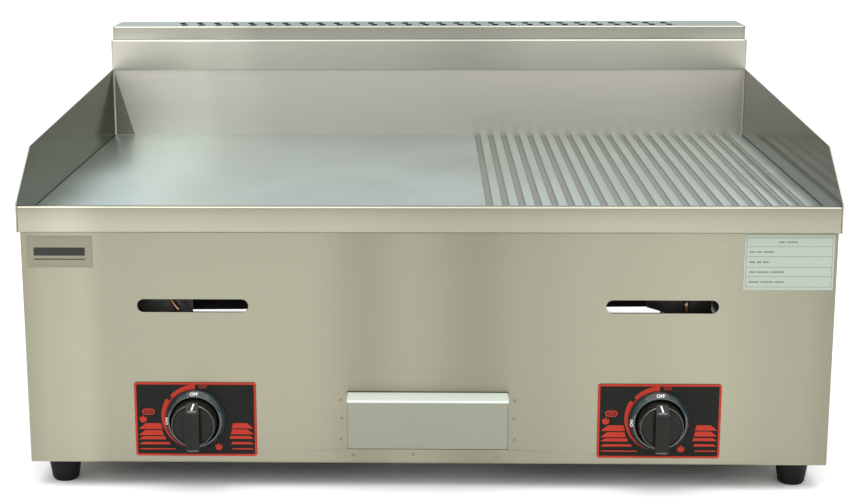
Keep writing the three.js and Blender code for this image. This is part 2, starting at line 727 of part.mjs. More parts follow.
// A hose barb with a hexagon collar, open along its bore.
function inletNipple() {
  const [start, face, tip] = [REAR - 21.7, REAR + GAP, REAR + 23];
  const outside = [[10, start], [10, face], [9, face + 0.2]];
  for (let i = 0; i < 3; i++) outside.push([7, face + 2 + 6 * i], [8.6, face + 5 + 6 * i]);
  return turned([[4, start], ...outside, [6.6, tip], [4, tip], [4, start]], 16);
}

for (const { name, s } of SIDES) {
  add(`burner_${name}`, burner(s), castIron);
  add(`air_shutter_${name}`, airShutter(), galvanised, [s * BURNER.outerX, 0, BURNER.z]);
  add(`injector_${name}`, injector(), brass, [s * BURNER.outerX, 0, BURNER.z]);
  add(`burner_bracket_${name}`, burnerBracket(), galvanised, [s * BURNER.outerX, 0, 0]);
  add(`electrode_${name}`, electrode(), ceramic, [s * BURNER.outerX + ELECTRODE.x, ELECTRODE.y, 0]);
  add(`ignition_lead_${name}`, ignitionLead(name, s), leadRed);
  add(`feed_tube_${name}`, feedTube(name, s), copper);
}
add("burner_front_bar", burnerFrontBar(), galvanised);
add("burner_rear_bar", burnerRearBar(), galvanised);
add("gas_manifold", gasManifold(), galvanised);
add("gas_inlet_nipple", inletNipple(), brass, [MANIFOLD.inletX, 0, MANIFOLD.z]);

// ---- Labels -------------------------------------------------------------------------------

function sticker(x0, x1, z0, z1) {
  return box(x0, x1, BODY_FRONT - GAP - 0.3, BODY_FRONT - GAP, z0, z1);
}

add("rating_label", sticker(280.5, 359.5, 189, 239), paper);
add("foil_badge", sticker(-357.5, -298.5, 208, 237), foil);

export default griddle;
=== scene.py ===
# A countertop gas griddle, half smooth and half grooved, in stainless steel, on a plain pale floor.
import json
import random
from math import atan2, copysign, cos, hypot, pi, radians, sin, tan

import bpy
import bmesh
from mathutils import Matrix, Vector


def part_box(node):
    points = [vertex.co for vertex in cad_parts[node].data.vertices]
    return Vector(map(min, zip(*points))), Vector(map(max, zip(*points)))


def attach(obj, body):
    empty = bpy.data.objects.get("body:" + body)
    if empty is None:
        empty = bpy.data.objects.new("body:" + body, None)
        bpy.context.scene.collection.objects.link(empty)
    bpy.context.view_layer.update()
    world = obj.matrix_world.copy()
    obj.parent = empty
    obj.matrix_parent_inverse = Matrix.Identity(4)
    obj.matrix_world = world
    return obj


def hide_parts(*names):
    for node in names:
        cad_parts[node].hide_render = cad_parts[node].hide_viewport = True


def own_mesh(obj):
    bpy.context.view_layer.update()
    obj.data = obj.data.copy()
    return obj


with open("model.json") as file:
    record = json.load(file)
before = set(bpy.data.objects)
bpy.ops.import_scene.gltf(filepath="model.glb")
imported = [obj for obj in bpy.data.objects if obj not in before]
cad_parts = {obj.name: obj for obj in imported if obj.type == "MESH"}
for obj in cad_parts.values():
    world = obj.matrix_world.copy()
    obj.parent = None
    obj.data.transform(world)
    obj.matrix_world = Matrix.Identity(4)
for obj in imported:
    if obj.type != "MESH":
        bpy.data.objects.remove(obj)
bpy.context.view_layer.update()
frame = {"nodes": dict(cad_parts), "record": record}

MM = 0.001
SHEET = 1.2 * MM
HEAVY_SHEET = 1.5 * MM
SIDES = {"left": -1, "right": 1}
GROUND_BUMP = 0.03  # how strongly the marks of grinding and brushing show
QUARTER_TURN = [pi / 2 * i / 5 for i in range(6)]


class Box:
    """A CAD node's box, with its corners by name."""

    def __init__(self, node):
        low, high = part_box(node)
        self.x0, self.y0, self.z0 = low
        self.x1, self.y1, self.z1 = high
        self.middle = (low + high) / 2


# ---- Materials ----


def give(tree, socket, value):
    """Links a socket to another one, or sets it to a plain value."""
    if isinstance(value, bpy.types.NodeSocket):
        tree.links.new(value, socket)
    else:
        socket.default_value = value


class Look:
    """A procedural material, built round one Principled shader."""

    def __init__(self, name, color, metallic, roughness):
        self.material = bpy.data.materials.new(name)
        self.material.use_nodes = True
        self.tree = self.material.node_tree
        self.shader = self.tree.nodes["Principled BSDF"]
        self.set("Base Color", (*color, 1))
        self.set("Metallic", metallic)
        self.set("Roughness", roughness)

    def set(self, socket, value):
        self.shader.inputs[socket].default_value = value

    def node(self, kind, **inputs):
        made = self.tree.nodes.new("ShaderNode" + kind)
        for name, value in inputs.items():
            give(self.tree, made.inputs[name.replace("_", " ")], value)
        return made

    def noise(self, scale, detail, offset=(0, 0, 0)):
        """Noise whose cells are 1 / scale metres along each axis."""
        place = self.node("TexCoord").outputs["Object"]
        mapped = self.node("Mapping", Vector=place, Scale=scale, Location=offset)
        noise = self.node("TexNoise", Vector=mapped.outputs["Vector"], Scale=1.0, Detail=detail)
        return noise.outputs["Fac"]

    def spread(self, fac, low, high):
        """A number from low to high over the range that noise mostly stays in, eased at both ends."""
        made = self.node("MapRange", Value=fac, From_Min=0.3, From_Max=0.7, To_Min=low, To_Max=high)
        made.interpolation_type = "SMOOTHSTEP"
        return made.outputs["Result"]

    def tint(self, fac, color_a, color_b, blend="MIX"):
        """From color_a to color_b as fac goes from 0 to 1. fac and the colours are values or sockets."""
        made = self.tree.nodes.new("ShaderNodeMix")
        made.data_type, made.blend_type = "RGBA", blend
        for name, value in (("Factor", fac), (6, color_a), (7, color_b)):
            give(self.tree, made.inputs[name], (*value, 1) if isinstance(value, tuple) else value)
        return made.outputs[2]

    def mottled(self, fac, color, darkest, lightest):
        """The colour, times a factor between those two."""
        return self.tint(self.spread(fac, 0, 1), shade(color, darkest), shade(color, lightest))

    def paint_reflections(self, color, painted_reflections):
        """Painted reflections: the colour times a factor that changes along X, from (x, factor) pairs."""
        low, high = painted_reflections[0][0], painted_reflections[-1][0]
        place = self.node("SeparateXYZ", Vector=self.node("TexCoord").outputs["Object"])
        along = self.node("MapRange", Value=place.outputs["X"], From_Min=low, From_Max=high)
        ramp = self.node("ValToRGB", Fac=along.outputs["Result"])
        brightest = max(factor for x, factor in painted_reflections)
        white = (1, 1, 1)
        stops = [((x - low) / (high - low), shade(white, factor / brightest)) for x, factor in painted_reflections]
        set_stops(ramp, stops)
        scaled = self.node("VectorMath", Vector=ramp.outputs["Color"])
        scaled.operation = "SCALE"
        scaled.inputs["Scale"].default_value = brightest
        return self.tint(1.0, color, scaled.outputs["Vector"], "MULTIPLY")

    def feed(self, socket, output):
        self.tree.links.new(output, self.shader.inputs[socket])

    def uneven(self, fac, roughness, less=0.03, more=0.04):
        """A roughness that varies from less below its middle to more above it."""
        self.feed("Roughness", self.spread(fac, roughness - less, roughness + more))

    def bump(self, height, strength, distance=0.1 * MM):
        made = self.node("Bump", Height=height, Strength=strength, Distance=distance)
        self.feed("Normal", made.outputs["Normal"])


def shade(color, factor):
    return tuple(min(1.0, c * factor) for c in color)


def set_stops(ramp, stops):
    """Gives a Color Ramp node its (position, colour) stops."""
    elements = ramp.color_ramp.elements
    while len(elements) < len(stops):
        elements.new(0.5)
    for element, (position, color) in zip(elements, stops):
        element.position, element.color = position, (*color, 1)
    ramp.color_ramp.interpolation = "EASE"


def brushed(name, color, roughness, grain="X", across="Z", anisotropic=0.6, marks=0.03, bands=0.05, painted_reflections=(),
            metallic=1.0, glancing=1.0):
    """Brushed sheet: fine streaks along its grain, soft bands and clouds, highlights drawn out across it.
    painted_reflections are (x, factor) pairs: painted reflections that draw the sheet lighter in some places
    along X than in others.
    glancing is how much it reflects when looked at edge on."""
    look = Look(name, color, metallic, roughness)
    look.set("Specular Tint", (glancing, glancing, glancing, 1))
    look.set("Anisotropic", anisotropic)
    stretch = {axis: float(axis == across) for axis in "XYZ"}
    look.feed("Tangent", look.node("CombineXYZ", **stretch).outputs["Vector"])

    def drawn_out(along, over, detail, offset=(0, 0, 0)):
        """Noise with so many cells a metre along the grain and over it."""
        return look.noise(tuple(along if axis == grain else over for axis in "XYZ"), detail, offset)

    streaks = drawn_out(14, 1500, 3.0)
    lines = drawn_out(1.5, 110, 2.0, (3, 1, 7))
    broad = drawn_out(7, 0.8, 1.0, (1, 4, 2))
    clouds = look.noise((6, 6, 6), 2.0, (11, 5, 2))
    fine = look.mottled(streaks, color, 1 - marks, 1 + marks)
    lined = look.tint(look.spread(lines, 0, 0.4), fine, shade(color, 1 - marks))
    banded = look.tint(look.spread(broad, 0, 0.8), lined, shade(color, 1 - bands))
    clouded = look.tint(look.spread(clouds, 0, 0.4), banded, shade(color, 1 - bands))
    # painted reflections along X, where they are given
    look.feed("Base Color", look.paint_reflections(clouded, painted_reflections) if painted_reflections else clouded)
    look.uneven(streaks, roughness)
    look.bump(streaks, GROUND_BUMP)
    return look.material


def plate_look(name, color, roughness, painted_reflections, marks=0.03):
    """Ground and polished cooking steel: fine marks along the grinding and a few darker clouds."""
    look = Look(name, color, 1.0, roughness)
    look.set("Anisotropic", 0.3)
    look.feed("Tangent", look.node("CombineXYZ", X=0.0, Y=1.0, Z=0.0).outputs["Vector"])
    ground = look.noise((40, 900, 900), 3.0)
    clouds = look.noise((9, 7, 7), 4.0, (4, 9, 1))
    marked = look.mottled(ground, color, 1 - marks, 1 + marks)
    clouded = look.tint(look.spread(clouds, 0, 0.6), marked, shade(color, 1 - 2 * marks))
    # painted reflections along X, lightest at the plate's left end
    look.feed("Base Color", look.paint_reflections(clouded, painted_reflections))
    look.uneven(clouds, roughness)
    look.bump(ground, GROUND_BUMP)
    return look.material


def rough_metal(name, color, roughness, grain=400, depth=0.2 * MM, strength=0.3, mottle=0.15, metallic=1.0):
    """Cast, zinc coated or drawn metal: mottled, with a fine uneven skin."""
    look = Look(name, color, metallic, roughness)
    skin = look.noise((grain,) * 3, 3.0)
    patches = look.noise((60, 60, 60), 2.0, (2, 2, 2))
    look.feed("Base Color", look.mottled(patches, color, 1 - mottle, 1 + mottle))
    look.uneven(skin, roughness, 0.08, 0.1)
    look.bump(skin, strength, depth)
    return look.material


def moulded(name, color, roughness, coat=0.0, texture=1500, strength=0.1, gloss=0.5):
    """Moulded plastic or rubber, with a faint skin texture and slightly uneven gloss."""
    look = Look(name, color, 0.0, roughness)
    look.set("Coat Weight", coat)
    look.set("Specular IOR Level", gloss)
    look.set("Coat Roughness", 0.08)
    skin = look.noise((texture,) * 3, 2.0)
    wear = look.noise((90, 90, 90), 2.0, (5, 0, 3))
    look.feed("Base Color", look.mottled(wear, color, 0.85, 1.2))
    look.uneven(wear, roughness, 0.04, 0.06)
    look.bump(skin, strength)
    return look.material


def printed(name, color, roughness=0.4):
    """Screen-printed ink, a little uneven in depth."""
    look = Look(name, color, 0.0, roughness)
    look.set("Specular IOR Level", 0.2)
    patch = look.noise((700, 700, 700), 2.0)
    look.feed("Base Color", look.mottled(patch, color, 0.97, 1.03))
    return look.material


# Painted reflections of the room: how much lighter or darker each sheet is drawn at places along X, in
# metres.
PANEL_PAINTED_REFLECTIONS = (
    (-0.365, 0.88), (-0.340, 1.05), (-0.312, 1.12), (-0.286, 0.96), (-0.110, 0.98), (-0.055, 0.80),
    (-0.015, 0.90), (0.045, 0.74), (0.095, 0.87), (0.160, 0.97), (0.240, 1.04), (0.330, 0.90), (0.365, 0.76),
)
RAIL_PAINTED_REFLECTIONS = (
    (-0.365, 1.0), (-0.320, 1.20), (-0.280, 0.98), (-0.100, 0.92),
    (0.045, 0.82), (0.200, 0.94), (0.365, 0.86),
)
BAND_PAINTED_REFLECTIONS = (
    (-0.322, 1.30), (-0.270, 1.38), (-0.232, 1.20), (-0.180, 1.0),
    (-0.080, 0.93), (0.045, 0.80), (0.150, 0.98), (0.322, 1.04),
)
CAP_PAINTED_REFLECTIONS = (
    (-0.322, 1.34), (-0.250, 1.24), (-0.190, 0.92), (-0.120, 0.90),
    (0.040, 0.84), (0.140, 0.98), (0.322, 0.98),
)
SPLASH_PAINTED_REFLECTIONS = (
    (-0.305, 1.40), (-0.270, 1.33), (-0.230, 1.16), (-0.170, 1.04),
    (0.030, 1.00), (0.200, 1.08), (0.305, 1.14),
)
PLATE_PAINTED_REFLECTIONS = ((-0.36, 1.45), (-0.28, 1.28), (-0.20, 1.03), (-0.10, 1.0), (0.26, 1.0), (0.36, 1.15))
steel = brushed("stainless_front", (0.335, 0.325, 0.244), 0.32, painted_reflections=PANEL_PAINTED_REFLECTIONS)
steel_drawer = brushed("stainless_drawer", (0.285, 0.293, 0.235), 0.32)
steel_back = brushed("stainless_back", (0.40, 0.395, 0.33), 0.32)
steel_rail = brushed("stainless_rail", (0.375, 0.37, 0.29), 0.22, painted_reflections=RAIL_PAINTED_REFLECTIONS)
steel_band = brushed("stainless_band", (0.455, 0.45, 0.385), 0.36, painted_reflections=BAND_PAINTED_REFLECTIONS)
steel_cap = brushed("stainless_cap", (0.385, 0.385, 0.325), 0.22, painted_reflections=CAP_PAINTED_REFLECTIONS)
steel_side = brushed("stainless_sides", (0.42, 0.415, 0.36), 0.32, grain="Y")
# Painted shade: darker copies of the side steel for the shields' inner faces, the left one also reflecting
# less when seen edge on than the right.
shaded_shield_looks = {}
for side, color, glancing in (("left", (0.205, 0.206, 0.160), 0.52), ("right", (0.205, 0.200, 0.165), 0.9)):
    shaded_shield_looks[side] = brushed(
        "stainless_shield_" + side, color, 0.12, "Y", anisotropic=0.2, bands=0.10, glancing=glancing,
    )
steel_splash = brushed("stainless_splash", (0.50, 0.48, 0.43), 0.38, anisotropic=0.4, painted_reflections=SPLASH_PAINTED_REFLECTIONS)
# Painted reflection: a darker copy of the splash steel, for the shield reflected in the splash panel's left
# corner.
steel_painted_reflection = brushed("stainless_painted_reflection", (0.29, 0.285, 0.215), 0.38, anisotropic=0.4)
steel_weld = brushed("stainless_weld", (0.62, 0.61, 0.55), 0.40, grain="Z", across="X")
# Partly real light, partly painted: the upturned drawer lip is the drawer's steel drawn paler, greener and
# partly matte, a painted reflection of the bright room above it.
steel_lip_painted_reflection = brushed("stainless_lip_painted_reflection", (0.65, 0.72, 0.65), 0.55, anisotropic=0.0, metallic=0.35)
# Painted shade: near-black steel on the inner sides and cut edges of sheets, so that vents, holes and hollows
# read dark.
painted_shade = brushed("steel_painted_shade", (0.045, 0.045, 0.040), 0.55)
cooking_steel = plate_look("cooking_steel", (0.447, 0.52, 0.50), 0.33, PLATE_PAINTED_REFLECTIONS)
groove_steel = plate_look("cut_steel", (0.235, 0.245, 0.215), 0.5, PLATE_PAINTED_REFLECTIONS, marks=0.06)
zinc = rough_metal("zinc_coated", (0.52, 0.53, 0.52), 0.42, mottle=0.12, strength=0.15)
iron = rough_metal("cast_iron", (0.10, 0.098, 0.092), 0.62, grain=900, depth=0.4 * MM, strength=0.6,
                   metallic=0.7)
brass = rough_metal("brass", (0.78, 0.60, 0.30), 0.28, grain=1200, strength=0.08, mottle=0.06)
copper = rough_metal("copper", (0.80, 0.43, 0.28), 0.28, grain=1200, strength=0.08, mottle=0.08)
aluminium = rough_metal("cast_aluminium", (0.62, 0.63, 0.64), 0.42, grain=900, strength=0.25, mottle=0.06)
knob_black = moulded("knob_plastic", (0.007, 0.008, 0.005), 0.24, texture=2500, strength=0.03, gloss=0.22)
# Painted reflection: the bezel plastic is tinted blue-green for the bright room that its flared skirt
# reflects.
bezel_painted_reflection = moulded("bezel_plastic", (0.009, 0.024, 0.025), 0.08, coat=0.3, strength=0.01, gloss=1.0)
# Painted highlight: a lighter, glossier copy of the knob plastic for the rim of the knob's face and the
# grip's lower end.
knob_painted_highlight = moulded("knob_painted_highlight", (0.045, 0.048, 0.045), 0.22, strength=0.01, gloss=0.7)
rubber = moulded("foot_rubber", (0.003, 0.004, 0.003), 0.6, texture=1800, strength=0.3, gloss=0.2)
porcelain = moulded("porcelain", (0.82, 0.80, 0.74), 0.2, coat=0.5, strength=0.02)
silicone = moulded("silicone_lead", (0.75, 0.13, 0.04), 0.4, strength=0.05)
panel_black = moulded("panel_film", (0.005, 0.006, 0.004), 0.34, texture=3000, strength=0.03, gloss=0.16)
red_ink = printed("red_ink", (0.42, 0.030, 0.014), 0.6)
dark_red_ink = printed("dark_red_ink", (0.12, 0.010, 0.008), 0.6)
white_ink = printed("white_ink", (0.85, 0.86, 0.86))
dark_ink = printed("dark_ink", (0.030, 0.030, 0.028), 0.5)
grey_ink = printed("grey_ink", (0.19, 0.21, 0.19), 0.6)
label_film = printed("label_film", (0.372, 0.421, 0.360), 0.5)
foil = brushed("badge_foil", (0.28, 0.275, 0.205), 0.34, marks=0.08, bands=0.12)
weld_tint = brushed("weld_marks", (0.21, 0.20, 0.14), 0.34)

# ---- Making pieces ----


def add_object(name, data):
    made = bpy.data.objects.new(name, data)
    bpy.context.scene.collection.objects.link(made)
    return made


def link(name, mesh, look, body, stands_for):
    """A piece of the object that rides on a body and stands for some CAD nodes, or for none."""
    made = add_object(name, mesh)
    mesh.materials.append(look)
    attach(made, body)
    if stands_for:
        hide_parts(*stands_for)
    return made


def piece(name, bm, look, slot, body="griddle", stands_for=(), sheet=0.0, edge=0.0, sharp=32, second=None):
    """One object from a bmesh. With sheet, its surface is the middle of a sheet that thick. edge is how far
    its edges are rounded, and second is the look of a sheet's inner side or of the faces marked 1."""
    bmesh.ops.remove_doubles(bm, verts=bm.verts, dist=2e-6)
    bmesh.ops.recalc_face_normals(bm, faces=bm.faces)
    for face in bm.faces:
        face.smooth = True
    for each in bm.edges:
        each.smooth = len(each.link_faces) == 2 and each.calc_face_angle(0) < radians(sharp)
    mesh = bpy.data.meshes.new(name)
    bm.to_mesh(mesh)
    bm.free()
    made = link(name, mesh, look, body, stands_for)
    if second:
        mesh.materials.append(second)
    if sheet:
        solid = made.modifiers.new("sheet", "SOLIDIFY")
        solid.thickness, solid.offset, solid.use_even_offset = sheet, 0, True
        solid.material_offset = solid.material_offset_rim = 1 if second else 0
    if edge:
        round_edges(made, edge)
    return made


def sheet_piece(name, bm, look, stands_for, sheet=SHEET, edge=0.2 * MM, **more):
    """A folded stainless sheet, from its middle surface."""
    return piece(name, bm, look, "stainless", stands_for=stands_for, sheet=sheet, edge=edge, **more)


def round_edges(made, width, angle=50, segments=2):
    bevel = made.modifiers.new("edges", "BEVEL")
    bevel.width, bevel.segments, bevel.limit_method = width, segments, "ANGLE"
    bevel.angle_limit = radians(angle)
    bevel.harden_normals = True


def finish_node(node, look, edge=0.25, smooth=34):
    """Gives a CAD node that is shown as it is its material, and rounds its edges by so many millimetres."""
    shown = frame["nodes"][node]
    shown.data.materials.clear()
    shown.data.materials.append(look)
    weld = shown.modifiers.new("weld", "WELD")
    weld.merge_threshold = 0.01 * MM
    flat = shown.modifiers.new("flats", "DECIMATE")
    flat.decimate_type, flat.angle_limit = "DISSOLVE", radians(0.6)
    for face in shown.data.polygons:
        face.use_smooth = True
    round_edges(shown, edge * MM, smooth)


def strip(bm, line_a, line_b, closed=False):
    """Faces between two lines of as many points."""
    a = [bm.verts.new(p) for p in line_a]
    b = [bm.verts.new(p) for p in line_b]
    count = len(a)
    for i in range(count if closed else count - 1):
        j = (i + 1) % count
        bm.faces.new((a[i], a[j], b[j], b[i]))


def fill(bm, loops):
    """A flat face inside the first loop, with the others as holes."""
    edges = []
    for loop in loops:
        verts = [bm.verts.new(p) for p in loop]
        edges += [bm.edges.new((verts[i - 1], verts[i])) for i in range(len(verts))]
    bmesh.ops.triangle_fill(bm, edges=edges, use_beauty=True)


def arc(x, y, radius, start, end, count):
    """Points of an arc, with its angles in degrees from +X towards +Y."""
    turns = [radians(start + (end - start) * i / (count - 1)) for i in range(count)]
    return [(x + radius * cos(t), y + radius * sin(t)) for t in turns]


def round_rect(x0, x1, y0, y1, radius, count=6):
    corners = ((x1, y0, -90), (x1, y1, 0), (x0, y1, 90), (x0, y0, 180))
    points = []
    for x, y, start in corners:
        cx = x - radius if x == x1 else x + radius
        cy = y - radius if y == y1 else y + radius
        points += arc(cx, cy, radius, start, start + 90, count)
    return points


def inset(box, margin, radius):
    """A rounded outline in (X, Z), so far inside a box's edges."""
    return round_rect(box.x0 + margin, box.x1 - margin, box.z0 + margin, box.z1 - margin, radius)


def slot_loop(x, y, half, radius, upright=False, count=9):
    """An oblong with round ends; half is the half length of its straight part."""
    if upright:
        return arc(x, y + half, radius, 0, 180, count) + arc(x, y - half, radius, 180, 360, count)
    return arc(x + half, y, radius, -90, 90, count) + arc(x - half, y, radius, 90, 270, count)


def circle(x, y, radius, count=32):
    return arc(x, y, radius, 0, 360 - 360 / count, count)


def filleted(points, radius, count=6):
    """An open line with its inner corners rounded."""
    line = [Vector(points[0])]
    for before, here, after in zip(points, points[1:], points[2:]):
        here = Vector(here)
        inward = (Vector(before) - here).normalized()
        outward = (Vector(after) - here).normalized()
        half = inward.angle(outward) / 2
        reach = radius / tan(half)
        centre = here + (inward + outward).normalized() * radius / sin(half)
        start, end = here + inward * reach, here + outward * reach
        a, b = start - centre, end - centre
        turn = a.angle_signed(b)
        for i in range(count):
            spin = Matrix.Rotation(-turn * i / (count - 1), 2)
            line.append(centre + spin @ a)
    line.append(Vector(points[-1]))
    return line


def fold_x(points, radius, x0, x1):
    """A bent sheet's middle surface: a (Y, Z) line with rounded corners, run along X."""
    bm = bmesh.new()
    line = filleted(points, radius)
    strip(bm, [(x0, y, z) for y, z in line], [(x1, y, z) for y, z in line])
    return bm


def lathe(profile, place, axis="Y", count=64):
    """[radius, along] points turned about an axis through place."""
    bm = bmesh.new()
    rings = []
    for i in range(count):
        angle = 2 * pi * i / count
        c, s = cos(angle), sin(angle)
        if axis == "Y":
            rings.append([(place[0] + r * c, along, place[2] + r * s) for r, along in profile])
        else:
            rings.append([(place[0] + r * c, place[1] + r * s, along) for r, along in profile])
    for i in range(count):
        strip(bm, rings[i - 1], rings[i])
    bmesh.ops.remove_doubles(bm, verts=bm.verts, dist=1e-7)
    bmesh.ops.dissolve_degenerate(bm, dist=1e-8, edges=bm.edges)
    return bm


def rounded_profile(points, radius):
    """A lathe profile with its corners eased."""
    return [(p.x, p.y) for p in filleted(points, radius, 5)]


def prism(bm, loop, low, high, plane="XZ"):
    """A closed solid from a flat loop, between two depths."""
    def lift(p, depth):
        return {"XZ": (p[0], depth, p[1]), "XY": (p[0], p[1], depth), "YZ": (depth, p[0], p[1])}[plane]

    bottom = [bm.verts.new(lift(p, low)) for p in loop]
    top = [bm.verts.new(lift(p, high)) for p in loop]
    bm.faces.new(bottom)
    bm.faces.new(list(reversed(top)))
    for i in range(len(loop)):
        bm.faces.new((bottom[i - 1], bottom[i], top[i], top[i - 1]))


def merge(bm, part):
    """Moves the faces of part into bm."""
    mesh = bpy.data.meshes.new("part")
    part.to_mesh(mesh)
    part.free()
    bm.from_mesh(mesh)
    bpy.data.meshes.remove(mesh)


def side_folds(bm, half, face, inwards, end, radius, z0, z1):
    """The rounded folds and flanges at both sides of an upright sheet. inwards is the sign of Y behind it."""
    for s in SIDES.values():
        bend = [(s * (half - radius + radius * sin(t)), face + inwards * (radius - radius * cos(t)))
                for t in QUARTER_TURN]
        bend.append((s * half, end))
        strip(bm, [(x, y, z0) for x, y in bend], [(x, y, z1) for x, y in bend])


def decal(name, loops, depth, look, slot):
    """Ink on a face that looks towards -Y: loops in (X, Z), the first the outline and the rest holes."""
    bm = bmesh.new()
    fill(bm, [[(x, depth, z) for x, z in loop] for loop in loops])
    piece(name, bm, look, slot, sheet=0.04 * MM)


def lettering(name, words, height, look, matrix):
    """Plain sans-serif letters, a few hundredths of a millimetre thick, made a metre tall and then shrunk."""
    capital = 0.7  # height of a capital letter for a text of size 1
    curve = bpy.data.curves.new(name, "FONT")
    curve.body, curve.size, curve.extrude = words, 1 / capital, 0.03 * MM / height
    curve.align_x = curve.align_y = "CENTER"
    curve.offset = 0.02
    holder = add_object(name + "_text", curve)
    bpy.context.view_layer.update()
    mesh = bpy.data.meshes.new_from_object(holder)
    bpy.data.objects.remove(holder)
    mesh.transform(matrix @ Matrix.Diagonal((height, height, height, 1)))
    mesh.name = name
    link(name, mesh, look, "griddle", ())


# ---- Body panels ----

front = Box("front_panel")
FACE = front.y0  # outer face of the front panel
MID = FACE + SHEET / 2
OPENINGS = {one["name"]: one["box_m"] for one in frame["record"]["physics"]["openings"]}
FOLD = 1.6 * MM  # of the body panels, at the middle of the sheet


def front_panel():
    """A sheet with slots, folded back at its sides and below."""
    r, half = FOLD, front.x1 - SHEET / 2
    foot_half, foot_depth = 300 * MM, 11 * MM
    z0, z1 = front.z0 + SHEET / 2, front.z1
    drawer, clear = Box("drawer_front"), 0.4 * MM
    spindle_hole = 6 * MM
    outline = [
        (-half + r, z0), (-foot_half, z0), (-foot_half, z0 + r), (foot_half, z0 + r), (foot_half, z0),
        (half - r, z0), (half - r, z1), (-half + r, z1),
    ]
    loops = [outline, inset(drawer, -clear, 0.6 * MM)]
    for side in SIDES:
        low, high = (Vector(corner) for corner in OPENINGS["lighting_slot_" + side])
        middle = (low + high) / 2
        radius = (high.z - low.z) / 2 + 0.3 * MM
        loops.append(slot_loop(middle.x, middle.z, (high.x - low.x) / 2 + 0.2 * MM, radius, count=13))
        knob = Box("bezel_" + side).middle
        loops.append(circle(knob.x, knob.z, spindle_hole))
    bm = bmesh.new()
    fill(bm, [[(x, MID, z) for x, z in loop] for loop in loops])
    side_folds(bm, half, MID, 1, front.y1, r, z0, z1)
    lip = [(MID + r - r * cos(t), z0 + r - r * sin(t)) for t in QUARTER_TURN]
    lip.append((MID + foot_depth, z0))
    strip(bm, [(-foot_half, y, z) for y, z in lip], [(foot_half, y, z) for y, z in lip])
    sheet_piece("panel_front", bm, steel, ["front_panel"])


def weld_marks():
    """Shallow rings that the spot welds of the parts behind have left in the front panel."""
    drawer = Box("drawer_front")
    low, tall = drawer.z0, drawer.z1 - drawer.z0
    ring = [(0, -0.02), (0.6, -0.03), (0.9, -0.10), (1.1, -0.10), (1.4, -0.02), (1.5, 0.1)]
    beside = ((6.5, 0.17), (5.5, 0.54), (6, 0.86))  # distance from the drawer, and how far up its height
    below = ((drawer.x0, 5, 6), (drawer.middle.x, -13, 5), (drawer.x1, -10, 8))
    spots = []
    for s, rim in ((-1, drawer.x0), (1, drawer.x1)):
        spots += [(rim + s * d * MM, low + tall * f) for d, f in beside]
    spots += [(x + along * MM, low - down * MM) for x, along, down in below]
    bm = bmesh.new()
    for x, z in spots:
        merge(bm, lathe([(r * MM, FACE + d * MM) for r, d in ring], (x, 0, z), count=24))
    piece("panel_weld_marks", bm, weld_tint, "stainless", sharp=80)


def back_panel():
    """A sheet with a row of vents to each side, whose lower edge rises a little to the right."""
    back = Box("back_panel")
    r, half, y, z0, z1 = FOLD, back.x1 - SHEET / 2, back.y1 - SHEET / 2, back.z0, back.z1
    inlet, inlet_hole = Box("gas_inlet_nipple").middle, 11 * MM
    notch, rise_left, rise_right = 296.5 * MM, 1.6 * MM, 7.0 * MM
    bank_x, lowest, pitch, vents = 150, 40, 12, 6  # in millimetres
    outline = [
        (-half + r, z0), (-notch, z0), (-notch, z0 + rise_left), (notch, z0 + rise_right), (notch, z0),
        (half - r, z0), (half - r, z1), (-half + r, z1),
    ]
    loops = [outline, circle(inlet.x, inlet.z, inlet_hole)]
    for bank in (-bank_x, bank_x):
        for i in range(vents):
            loops.append(slot_loop(bank * MM, z0 + (lowest + pitch * i) * MM, 30 * MM, 2.2 * MM, count=7))
    bm = bmesh.new()
    fill(bm, [[(px, y, pz) for px, pz in loop] for loop in loops])
    side_folds(bm, half, y, -1, back.y0, r, z0, z1)
    # the inner side and the cut edges of the vents are painted shade
    sheet_piece("panel_back", bm, steel_back, ["back_panel"], second=painted_shade)


def side_panel(side, s):
    panel = Box("side_panel_" + side)
    wall = s * (max(abs(panel.x0), abs(panel.x1)) - SHEET / 2)
    flange = s * min(abs(panel.x0), abs(panel.x1))
    z0 = panel.z0 + SHEET / 2
    line = filleted([(wall, panel.z1), (wall, z0), (flange, z0)], FOLD)
    bm = bmesh.new()
    strip(bm, [(x, panel.y0, z) for x, z in line], [(x, panel.y1, z) for x, z in line])
    sheet_piece("panel_side_" + side, bm, steel_side, ["side_panel_" + side])


def foot(node):
    """A tapered rubber foot with a screw at the bottom of its hollow."""
    box = Box(node)
    wide, narrow, hollow, roof = (box.x1 - box.x0) / 2, 12.2 * MM, 5 * MM, 13 * MM
    top = box.z1
    profile = [
        (0, roof), (hollow, roof), (hollow, box.z0), (narrow - 1.6 * MM, box.z0), (narrow, 2.2 * MM),
        (wide, top - 2 * MM), (wide, top), (0, top),
    ]
    eased = rounded_profile(profile, 0.5 * MM)
    piece(node + "_rubber", lathe(eased, box.middle, "Z"), rubber, "foot_rubber", stands_for=[node], sharp=50)
    screw = [(0, 9 * MM), (2.2 * MM, 9 * MM), (4.2 * MM, 10.4 * MM), (4.2 * MM, 12.8 * MM), (0, 12.8 * MM)]
    piece(node + "_screw", lathe(screw, box.middle, "Z", 24), zinc, "galvanised", sharp=40)


